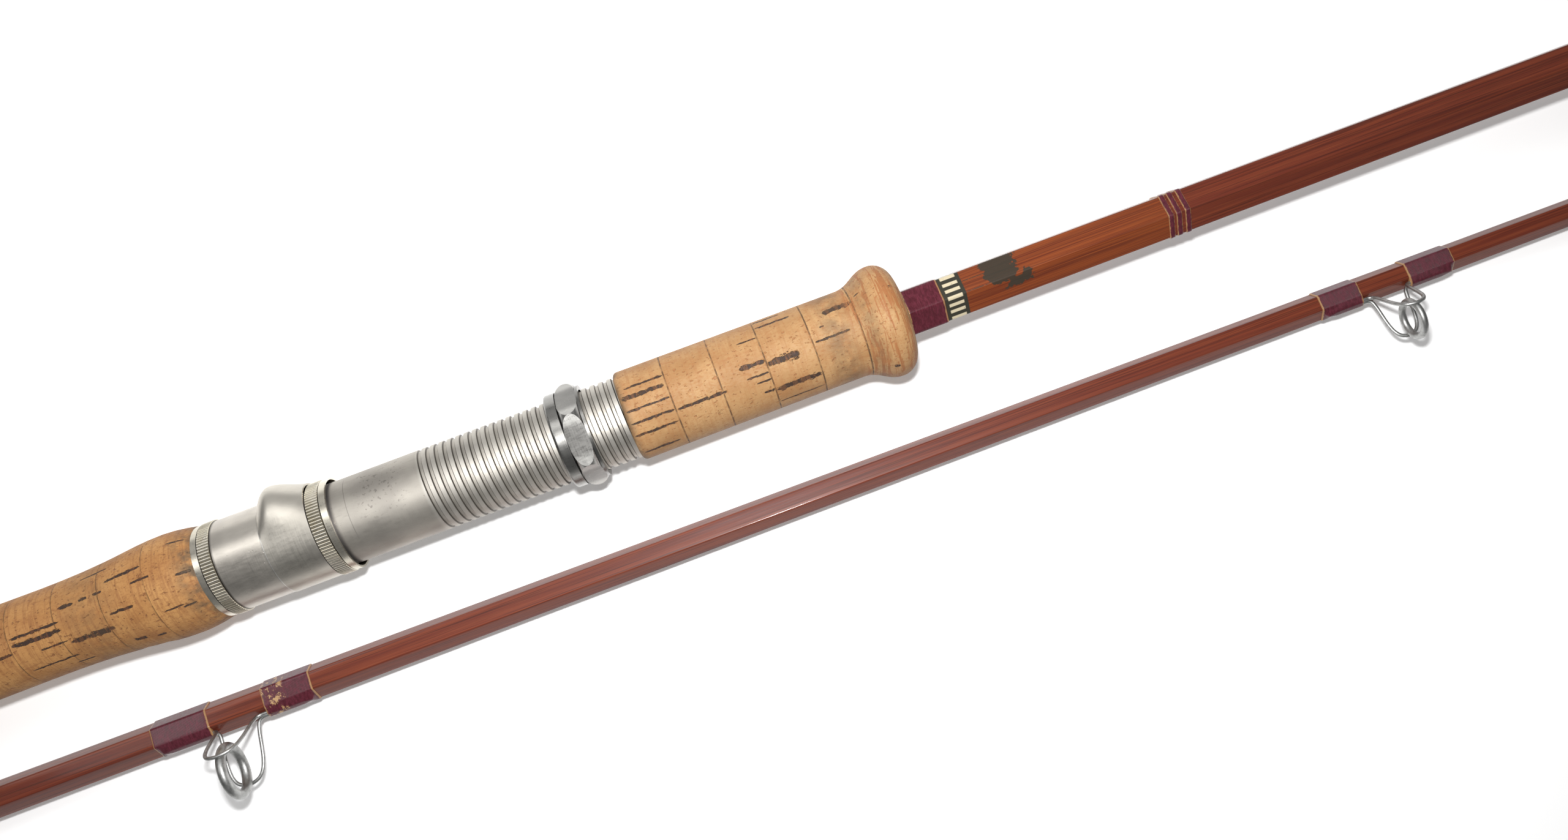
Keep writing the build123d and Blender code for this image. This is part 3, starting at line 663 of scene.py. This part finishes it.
def window_ground(g, x, colour, fibres, fine):
    """The lighter, amber stretch of cane between the label and the three bands."""
    amber = g.mix(g.fade(fibres, 0.36, 0.64), rgb(0.205, 0.045, 0.011), rgb(0.098, 0.018, 0.007))
    amber = g.mix(g.fade(fine, 0.50, 0.72, 0.0, 0.5), amber, rgb(0.270, 0.078, 0.018))
    return g.mix(g.between(x, *LIGHT_WINDOW, 0.3), colour, amber)


def label(g, x, angle, ragged, colour):
    """A black band with a row of plain cream blocks around it."""
    colour = g.mix(g.between(x, *LABEL, 0.06), colour, INK)
    step = g.math("FRACT", g.times(angle, 1 / BLOCK_STEP))
    block = g.times(g.between(x, *LABEL_BLOCKS, 0.12), g.between(step, 0.26, 0.74, 0.03))
    blocks = g.times(block, g.fade(ragged, 0.26, 0.34))
    return g.mix(blocks, colour, rgb(0.520, 0.450, 0.310))


def torn_transfer(g, place, x, angle, ragged, colour):
    """Remains of a transfer: a ragged dark patch with a tail, and three lines from it to the label."""
    torn = g.subtract(g.noise(g.stretched(place, 0.45, 0.55, 0.55), detail=4.0, roughness=0.6), 0.5)
    torn_x = g.add(x, g.times(torn, 7.0))
    torn_angle = g.add(angle, g.times(torn, 60.0))
    patch = g.times(g.between(torn_x, *TRANSFER, 0.2), g.between(torn_angle, -14.0, 74.0, 2.0))
    tail = g.times(g.between(torn_x, *TRANSFER_TAIL, 0.2), g.between(torn_angle, -36.0, -6.0, 2.0))
    along = g.between(x, LABEL[1], TRANSFER[0] + 0.3, 0.1)
    lines = g.most(*[g.between(angle, at, at + 2.0, 0.6) for at in (52.0, 22.0, -9.0)])
    frame_lines = g.times(along, lines, g.fade(ragged, 0.40, 0.50))
    return g.mix(g.times(g.most(patch, tail, frame_lines), 0.93), colour, INK)


def butt_cane_material():
    """As the top section's, with the label, the remains of the transfer and the lighter window."""
    g = Graph("butt_cane_varnished")
    place = g.around(BUTT, GRIP_FRONT)
    x, y, z = g.parts(place)
    angle = g.angle(y, z)
    colour, fibres, fine = cane_colour(g, place)
    ragged = g.noise(g.stretched(place, 0.7, 0.9, 0.9), detail=4.0, roughness=0.65)
    colour = window_ground(g, x, colour, fibres, fine)
    colour = label(g, x, angle, ragged, colour)
    colour = torn_transfer(g, place, x, angle, ragged, colour)
    varnish(g, colour, fibres, fine)
    return g.material


def silk_material(name, section, tan_edge, wear=0.0):
    """Fine silk thread under varnish: burgundy, with a few tan turns at the ends."""
    g = Graph(name)
    place = g.around(section)
    x, y, z = g.parts(place)
    turn = g.times(g.angle(y, z), 1 / 360.0)
    thread = g.math("SINE", g.times(g.add(g.times(x, 1 / 0.19), turn), 2 * math.pi))
    mottle = g.noise(g.stretched(place, 1.6, 0.7, 0.7), detail=4.0, roughness=0.7)
    sheen = g.noise(g.stretched(place, 4.0, 0.35, 0.35), detail=2.0)
    colour = g.mix(g.fade(mottle, 0.35, 0.70), rgb(0.060, 0.008, 0.014), rgb(0.110, 0.017, 0.030))
    colour = g.mix(g.fade(sheen, 0.55, 0.75, 0.0, 0.5), colour, rgb(0.165, 0.030, 0.048))
    edge = g.attribute("edge")
    ragged = g.noise(g.stretched(place, 2.0, 1.2, 1.2), detail=3.0)
    uneven_edge = g.add(edge, g.times(g.subtract(ragged, 0.5), 0.5))
    tan = g.fade(uneven_edge, tan_edge - 0.1, tan_edge + 0.1, 1.0, 0.0)
    colour = g.mix(g.times(tan, 0.85), colour, rgb(0.360, 0.200, 0.085))
    if wear:
        rubbed = g.noise(g.stretched(place, 0.6, 0.5, 0.5), detail=4.0, roughness=0.75)
        bare = g.times(g.fade(rubbed, 0.53, 0.60), g.attribute("worn"), wear)
        colour = g.mix(bare, colour, rgb(0.430, 0.260, 0.120))
    g.set(
        Base_Color=colour,
        Roughness=g.fade(mottle, 0.3, 0.7, 0.34, 0.50),
        Specular_IOR_Level=0.20,
        Coat_Weight=0.5,
        Coat_Roughness=0.12,
        Coat_IOR=1.4,
        Normal=g.bump(g.add(g.times(thread, 0.5), g.times(mottle, 0.8)), 0.035),
    )
    return g.material


# ---- meshes
def new_object(name, vertices, faces, material, section, smooth):
    """A new piece riding on a section. Edges sharper than smooth degrees stay sharp."""
    mesh = bpy.data.meshes.new(name)
    mesh.from_pydata(vertices, [], faces)
    mesh.validate()
    made = bmesh.new()
    made.from_mesh(mesh)
    bmesh.ops.recalc_face_normals(made, faces=made.faces)
    made.to_mesh(mesh)
    made.free()
    mesh.shade_smooth()
    mesh.set_sharp_from_angle(angle=math.radians(smooth))
    mesh.materials.append(material)
    piece = bpy.data.objects.new(name, mesh)
    bpy.context.scene.collection.objects.link(piece)
    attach(piece, section.body)
    return piece


def add_attribute(piece, title, values):
    """One value at each point of the piece, for its material."""
    attribute = piece.data.attributes.new(title, "FLOAT", "POINT")
    attribute.data.foreach_set("value", values)


def skin(loops):
    """Vertices and faces of a closed skin over loops of points, with the first and last closed over."""
    count = len(loops[0])
    vertices = [point for loop in loops for point in loop]
    faces = []
    for k in range(len(loops) - 1):
        for j in range(count):
            a = k * count + j
            b = k * count + (j + 1) % count
            faces.append((a, b, b + count, a + count))
    faces.append(tuple(range(count))[::-1])
    last = (len(loops) - 1) * count
    faces.append(tuple(range(last, last + count)))
    return vertices, faces


def rounded_hexagon(width, rounding):
    """Points of a hexagon with two level faces, width across them, with rounded corners."""
    points = []
    corner_at = (width / 2 - rounding) * 2 / math.sqrt(3)
    arc_steps = 4
    flat_steps = 4
    arcs = []
    for k in range(6):
        out = math.radians(60 * k)
        centre = (corner_at * math.cos(out), corner_at * math.sin(out))
        arc = []
        for j in range(arc_steps + 1):
            a = out + math.radians(60 * (j / arc_steps - 0.5))
            arc.append((centre[0] + rounding * math.cos(a), centre[1] + rounding * math.sin(a)))
        arcs.append(arc)
    for k in range(6):
        points += arcs[k]
        a = arcs[k][-1]
        b = arcs[(k + 1) % 6][0]
        for j in range(1, flat_steps):
            share = j / flat_steps
            points.append((a[0] + share * (b[0] - a[0]), a[1] + share * (b[1] - a[1])))
    return points


def cane_piece(name, section, node, stations, material):
    """A cane from (x in m, width, turned radius or None) stations, with a hand-planed unevenness."""
    loops = []
    for x, width, turned in stations:
        loop = []
        for y, z in rounded_hexagon(width, CANE_ROUNDING * width):
            a = math.atan2(z, y)
            around = (BUMPS_AROUND * math.cos(a), BUMPS_AROUND * math.sin(a))
            chance = noise.noise(Vector((x * BUMPS_ALONG, *around)))
            radius = math.hypot(y, z) + chance * CANE_UNEVENNESS - CANE_INSET
            if turned is not None:
                radius = min(radius, turned)
            loop.append(section.point(x, radius * math.cos(a), radius * math.sin(a)))
        loops.append(loop)
    vertices, faces = skin(loops)
    piece = new_object(name, vertices, faces, material, section, smooth=25)
    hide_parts(node)


def spread(start, end, step):
    """Evenly spaced values from start to end, about step apart and at least three."""
    count = max(2, int(abs(end - start) / step))
    return [start + (end - start) * k / count for k in range(count + 1)]


# The canes' widths across the flats (mm): at the butt end, in front of the handle and at the
# ferrule, and at the top section's two ends. Then the radii they are turned to under the metal.
BUTT_WIDTHS = (11.4, 11.2, 9.0)
TOP_WIDTHS = (8.9, 2.4)
BUTT_STATION_RADIUS = 4.42
TOP_STATION_RADIUS = 4.28
TIP_STATION_RADIUS = 1.47
CANE_STEP = 0.006           # m from one cross-section to the next


def butt_width(x):
    """Across the flats in front of the handle, at x in m."""
    share = (x - GRIP_FRONT) / (high("butt_cane").x - GRIP_FRONT)
    return BUTT_WIDTHS[1] + share * (BUTT_WIDTHS[2] - BUTT_WIDTHS[1])


def top_width(x):
    """Across the flats of the top section, at x in m."""
    start, end = low("top_cane").x, high("top_cane").x
    return TOP_WIDTHS[0] + (x - start) / (end - start) * (TOP_WIDTHS[1] - TOP_WIDTHS[0])


def butt_cane_piece():
    start = low("butt_cane").x
    end = high("butt_cane").x
    station = low("female_ferrule").x
    shown = GRIP_FRONT - 0.004
    stations = [(start, BUTT_WIDTHS[0], None), (shown - 0.002, BUTT_WIDTHS[1], None)]
    stations += [(x, butt_width(x), None) for x in spread(shown, station - 0.0004, CANE_STEP)]
    stations += [(station - 0.0001, butt_width(station), BUTT_STATION_RADIUS + 0.5)]
    stations += [(station, butt_width(station), BUTT_STATION_RADIUS)]
    stations += [(end, BUTT_WIDTHS[2], BUTT_STATION_RADIUS)]
    cane_piece("butt_cane_hexagon", BUTT, "butt_cane", stations, butt_cane_material())


def top_cane_piece():
    start = low("top_cane").x
    end = high("top_cane").x
    station = high("male_ferrule").x
    tip = low("tip_tube").x
    stations = [(start, TOP_WIDTHS[0], TOP_STATION_RADIUS)]
    stations += [(station, top_width(station), TOP_STATION_RADIUS)]
    stations += [(station + 0.0002, top_width(station), None)]
    stations += [(x, top_width(x), None) for x in spread(station + 0.002, tip - 0.0005, CANE_STEP)]
    stations += [(tip, top_width(tip), TIP_STATION_RADIUS), (end, TOP_WIDTHS[1], TIP_STATION_RADIUS)]
    cane_piece("top_cane_hexagon", TOP, "top_cane", stations, top_cane_material())


def hull(points):
    """The convex outline of some points, counter-clockwise."""
    ordered = sorted(set(points))

    def half(chain):
        out = []
        for p in chain:
            while len(out) > 1:
                a, b = out[-2], out[-1]
                if (b[0] - a[0]) * (p[1] - a[1]) - (b[1] - a[1]) * (p[0] - a[0]) > 0:
                    break
                out.pop()
            out.append(p)
        return out[:-1]

    return half(ordered) + half(ordered[::-1])


def radius_towards(outline, angle):
    """How far a convex outline around the origin lies from it in one direction."""
    cos, sin = math.cos(angle), math.sin(angle)
    for k in range(len(outline)):
        a = outline[k]
        b = outline[(k + 1) % len(outline)]
        side_a = cos * a[1] - sin * a[0]
        side_b = cos * b[1] - sin * b[0]
        if side_a <= 0 < side_b or side_a < 0 <= side_b:
            share = side_a / (side_a - side_b)
            x = a[0] + share * (b[0] - a[0])
            y = a[1] + share * (b[1] - a[1])
            if x * cos + y * sin > 0:
                return x * cos + y * sin
    return max(math.hypot(*p) for p in outline)


SILK_SAMPLES = 120          # points in one turn of silk
WIRE_SAMPLES = 24           # points around a guide's foot wire


def silk_loop(section, x, width, thickness, wire=0.0, height=0.0):
    """One turn of taut silk at x: around the cane, and over a guide's two foot wires."""
    points = rounded_hexagon(width + 2 * thickness, CANE_ROUNDING * width + max(thickness, 0))
    if wire > 0:
        reach = wire + thickness
        for side in (-1, 1):
            for k in range(WIRE_SAMPLES):
                a = math.radians(360 / WIRE_SAMPLES * k)
                points.append((side * wire + reach * math.cos(a), height + reach * math.sin(a)))
    outline = hull([(round(y, 5), round(z, 5)) for y, z in points])
    loop = []
    for k in range(SILK_SAMPLES):
        a = 2 * math.pi * k / SILK_SAMPLES
        radius = radius_towards(outline, a)
        loop.append(section.point(x, radius * math.cos(a), radius * math.sin(a)))
    return loop


def silk_stations(start, end):
    """Places along a whipping (m) with the silk's thickness there (mm): its ends are rounded over."""
    rounded = ((0.0, -0.06), (0.02, 0.10), (0.08, 0.19), (0.2, 0.25), (0.4, 0.28))
    sides = [(start + at * MM, thick) for at, thick in rounded]
    step = SILK_STEP * MM
    middle = [(x, SILK - 0.01) for x in spread(start + step, end - step, step)]
    others = [(end - at * MM, thick) for at, thick in rounded[::-1]]
    return sides + middle + others


FOOT_STARTS = 1.2           # mm of plain silk before a guide's foot lifts it
FOOT_GROWS = 2.6            # mm over which the foot comes to its full width
RUBBED_LENGTH = 6.0         # mm of a guide's front whipping, next to its foot, where silk can be rubbed


def silk_piece(name, section, node, spans, width_at, wire, rising, material):
    """Whippings of one node. rising says, for each span, which end the guide's foot runs out of."""
    vertices, faces, edges, worn = [], [], [], []
    level = width_at(spans[0][0]) / 2 + GLUE_GAP
    for (start, end), towards in zip(spans, rising):
        loops = []
        for x, thickness in silk_stations(start, end):
            foot = 0.0
            if towards:
                from_tail = (x - start if towards > 0 else end - x) / MM
                foot = wire * min(1.0, max(0.0, (from_tail - FOOT_STARTS) / FOOT_GROWS))
            height = level + 2 * wire - foot if foot else 0.0
            loops.append(silk_loop(section, x, width_at(x), thickness, foot, height))
            edges += [min(x - start, end - x) / MM] * SILK_SAMPLES
            rubbed = towards < 0 and x - start < RUBBED_LENGTH * MM
            worn += [1.0 if rubbed else 0.0] * SILK_SAMPLES
        own_vertices, own_faces = skin(loops)
        base = len(vertices)
        vertices += own_vertices
        faces += [tuple(v + base for v in face) for face in own_faces]
    piece = new_object(name, vertices, faces, material, section, smooth=50)
    add_attribute(piece, "edge", edges)
    add_attribute(piece, "worn", worn)
    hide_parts(node)


# Where the whippings are (mm): from the front of the grip, and from the middle of each guide's ring.
HANDLE_SPAN = (0.5, 10.3)
BAND_STARTS = (71.4, 73.5, 75.9)
BAND_LENGTH = 1.5
# Each guide: its name, section, the radius of its wires, and where its two whippings are.
GUIDES = (
    ("butt_guide", BUTT, 0.6, (-27.0, -8.6), (8.6, 27.0)),
    ("guide_1", TOP, 0.5, (-21.2, -5.4), (9.9, 23.7)),
    ("guide_2", TOP, 0.5, (-18.5, -7.3), (6.0, 18.9)),
    ("guide_3", TOP, 0.4, (-16.5, -6.2), (6.2, 16.5)),
    ("guide_4", TOP, 0.4, (-15.0, -5.6), (5.6, 15.0)),
    ("guide_5", TOP, 0.35, (-14.0, -5.2), (5.2, 14.0)),
)


def silk_pieces():
    """Makes all whippings on the cane. Returns the plain silk of each section."""
    plain = {BUTT: silk_material("butt_silk", BUTT, 0.38), TOP: silk_material("top_silk", TOP, 0.38)}
    narrow = silk_material("band_silk", BUTT, 0.16)
    rubbed = silk_material("worn_silk", TOP, 0.38, 1.0)
    handle = (GRIP_FRONT + HANDLE_SPAN[0] * MM, GRIP_FRONT + HANDLE_SPAN[1] * MM)
    silk_piece("handle_silk", BUTT, "handle_whipping", [handle], butt_width, 0.0, [0], plain[BUTT])
    bands = [(GRIP_FRONT + at * MM, GRIP_FRONT + (at + BAND_LENGTH) * MM) for at in BAND_STARTS]
    silk_piece("band_silk", BUTT, "band_whippings", bands, butt_width, 0.0, [0, 0, 0], narrow)
    for name, section, wire, before, after in GUIDES:
        middle = (low(name + "_ring").x + high(name + "_ring").x) / 2
        spans = [(middle + a * MM, middle + b * MM) for a, b in (before, after)]
        width_at = butt_width if section is BUTT else top_width
        material = rubbed if name == "guide_1" else plain[section]
        node = name + "_whippings"
        silk_piece(name + "_silk", section, node, spans, width_at, wire, [1, -1], material)
    tip = (low("tip_whipping").x, high("tip_whipping").x)
    silk_piece("tip_silk", TOP, "tip_whipping", [tip], top_width, 0.0, [0], plain[TOP])
    return plain


def round_silk(name, section, node, material):
    """Silk over a ferrule: a plain round whipping with rounded ends."""
    start, end = low(node).x, high(node).x
    outer = (high(node).z - low(node).z) / 2 / MM
    loops = []
    edges = []
    for x, thickness in silk_stations(start, end):
        radius = outer - SILK + thickness
        loop = []
        for k in range(SILK_SAMPLES):
            a = 2 * math.pi * k / SILK_SAMPLES
            loop.append(section.point(x, radius * math.cos(a), radius * math.sin(a)))
        loops.append(loop)
        edges += [min(x - start, end - x) / MM] * SILK_SAMPLES
    vertices, faces = skin(loops)
    piece = new_object(name, vertices, faces, material, section, smooth=50)
    add_attribute(piece, "edge", edges)
    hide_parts(node)


# ---- the reel hood
def smooth_step(value, start, end):
    share = min(1.0, max(0.0, (value - start) / (end - start)))
    return share * share * (3 - 2 * share)


def hood_radius(x, angle):
    """Outer radius of the hood x mm from its closed end, at an angle from the middle of its pocket."""
    shoulder = math.sin(math.pi / 2 * min(1.0, x / POCKET_CREST)) ** 0.8
    slope = 1.0 - 0.8 * smooth_step(x, POCKET_CREST, POCKET_END)
    spread_out = min(abs(angle) / POCKET_HALF_ANGLE, 1.0)
    bell = math.cos(math.pi / 2 * spread_out) ** 2
    return HOOD_RADIUS + HOOD_RISE * shoulder * slope * bell


def hood_material():
    """The hood: pressed sheet, with a painted highlight along its rear edge."""
    colours = (rgb(0.610, 0.575, 0.510), rgb(0.490, 0.460, 0.405), METAL_STAIN)
    g, x, y, z, radius, colour = satin_metal("hood_aluminium", BUTT, SEAT_START, colours, 0.40, 0.1)
    # Painted highlight: a bright band along the hood's rear edge.
    edge = g.fade(x, HOOD_START, HOOD_START + 0.35, 1.0, 0.0)
    colour = g.mix(g.times(edge, 0.7), colour, rgb(0.86, 0.85, 0.82))
    g.set(Base_Color=colour)
    return g.material


def hood_piece():
    start, end = low("reel_hood").x, high("reel_hood").x
    length = (end - start) / MM
    around, along = 180, 52
    vertices = []
    for inset in (0.0, HOOD_WALL):
        for k in range(along + 1):
            x = length * k / along
            for j in range(around):
                a = 2 * math.pi * j / around
                radius = hood_radius(x, (a + math.pi) % (2 * math.pi) - math.pi) - inset
                vertices.append(HOOD.point(start + x * MM, -radius * math.sin(a), radius * math.cos(a)))
    faces = []
    shell = (along + 1) * around
    for k in range(along):
        for j in range(around):
            a = k * around + j
            b = k * around + (j + 1) % around
            faces.append((a, b, b + around, a + around))
            faces.append((shell + a, shell + a + around, shell + b + around, shell + b))
    for row in (0, along * around):
        for j in range(around):
            a = row + j
            b = row + (j + 1) % around
            faces.append((a, a + shell, b + shell, b))
    metal = hood_material()
    piece = new_object("hood_shell", vertices, faces, metal, HOOD, smooth=50)
    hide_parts("reel_hood")


# ---- carried-over nodes
def paint(material, *names):
    for name in names:
        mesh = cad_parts[name].data
        mesh.materials.clear()
        mesh.materials.append(material)


def paint_nodes():
    cork = fore_cork()
    paint(cork, "fore_cork_flare", *["fore_cork_ring_%d" % k for k in range(1, 6)])
    paint(rear_cork(), "rear_grip_cork_rings")
    paint(rubber(), "rubber_button")
    paint(cap_metal(), "butt_cap")
    paint(beaded_metal(), "rear_collar", "hood_mouth_ring")
    paint(sleeve_metal(), "seat_sleeve")
    paint(barrel_metal(), "seat_barrel")
    paint(arbor_wood(), "seat_arbor", "moisture_plug")
    paint(nut_metal(), "lock_nut", "lock_collar")
    steel = guide_metal()
    rings = [name + part for name, *_ in GUIDES for part in ("_ring", "_frame")]
    paint(steel, *rings, "tip_ring", "tip_stays", "tip_tube")
    paint(nickel_silver(), "female_ferrule", "ferrule_welt", "male_ferrule")


# ---- stage
# The camera looks straight down on the reel seat, turned so that the rod rises to the right.
CAMERA_AT = (-222.5, -19.5, 347.0)
CAMERA_TURN = math.radians(-20.5)
CAMERA_LENS = 29.3
CAMERA_SHIFT = (0.015, 0.048)
SENSOR_WIDTH = 36

PAPER_HALF = 4.0
PAPER_LEVEL = -0.0002
PAPER_GLOW = 0.22
SKY_STRENGTH = 0.16


def toward(up_tilt, distance, sideways):
    """A point above the reel seat, tilted from the vertical towards the picture's upper edge."""
    up = Vector((math.sin(-CAMERA_TURN), math.cos(CAMERA_TURN), 0))
    right = Vector((math.cos(CAMERA_TURN), math.sin(CAMERA_TURN), 0))
    centre = Vector((CAMERA_AT[0], CAMERA_AT[1], 0)) * MM
    tilt = math.radians(up_tilt)
    above = Vector((0, 0, math.cos(tilt) * distance))
    return centre + up * math.sin(tilt) * distance + above + right * sideways


# Each light: tilt from the vertical (degrees), distance and shift to the right (m), size (m), power (W).
LIGHTS = (
    ("flash", 8.0, CAMERA_AT[2] * MM, -0.01, (0.03, 0.02), 1.65),
    ("window", 28, 0.90, -0.46, (1.00, 0.26), 2.4),
    ("upper_side", 68, 1.20, -0.30, (1.80, 0.50), 1.3),
)


def area_light(name, at, size, power):
    light = bpy.data.lights.new(name, "AREA")
    light.shape = "RECTANGLE"
    light.size, light.size_y = size
    light.energy = power
    lamp = bpy.data.objects.new(name, light)
    lamp.location = at
    aim = Vector((CAMERA_AT[0], CAMERA_AT[1], 0)) * MM
    lamp.rotation_euler = (aim - at).to_track_quat("-Z", "Y").to_euler()
    bpy.context.scene.collection.objects.link(lamp)


def build_camera(scene):
    view = bpy.data.cameras.new("camera")
    view.sensor_width = SENSOR_WIDTH
    view.lens = CAMERA_LENS
    view.shift_x, view.shift_y = CAMERA_SHIFT
    view.clip_start = 0.01
    camera = bpy.data.objects.new("camera", view)
    camera.location = Vector(CAMERA_AT) * MM
    camera.rotation_euler = (0, 0, CAMERA_TURN)
    scene.collection.objects.link(camera)
    scene.camera = camera


def paper():
    """White paper that glows a little, so that it stays white away from the flash."""
    g = Graph("white_paper")
    fine = g.noise(g.node("ShaderNodeTexCoord", {}).outputs["Object"], 900.0, 2.0)
    g.set(Base_Color=rgb(0.88, 0.88, 0.88), Roughness=g.fade(fine, 0.3, 0.7, 0.8, 0.95))
    g.set(Emission_Color=rgb(1.0, 0.99, 0.97), Emission_Strength=PAPER_GLOW)
    return g.material


def build_floor(scene):
    mesh = bpy.data.meshes.new("floor")
    signs = [(-1, -1), (1, -1), (1, 1), (-1, 1)]
    corners = [(x * PAPER_HALF, y * PAPER_HALF, PAPER_LEVEL) for x, y in signs]
    mesh.from_pydata(corners, [], [(0, 1, 2, 3)])
    floor = bpy.data.objects.new("floor", mesh)
    scene.collection.objects.link(floor)
    mesh.materials.append(paper())


def build_world(scene):
    world = bpy.data.worlds.new("studio")
    world.use_nodes = True
    background = world.node_tree.nodes["Background"]
    background.inputs["Color"].default_value = rgb(0.98, 0.99, 1.0)
    background.inputs["Strength"].default_value = SKY_STRENGTH
    scene.world = world


def build_stage():
    scene = bpy.context.scene
    build_camera(scene)
    build_floor(scene)
    build_world(scene)
    for name, tilt, distance, sideways, size, power in LIGHTS:
        area_light(name, toward(tilt, distance, sideways), size, power)
    scene.view_settings.view_transform = "Standard"


# ---- everything
def build():
    butt_cane_piece()
    top_cane_piece()
    silk = silk_pieces()
    round_silk("butt_ferrule_silk", BUTT, "butt_ferrule_whipping", silk[BUTT])
    round_silk("top_ferrule_silk", TOP, "top_ferrule_whipping", silk[TOP])
    hood_piece()
    paint_nodes()
    build_stage()


build()
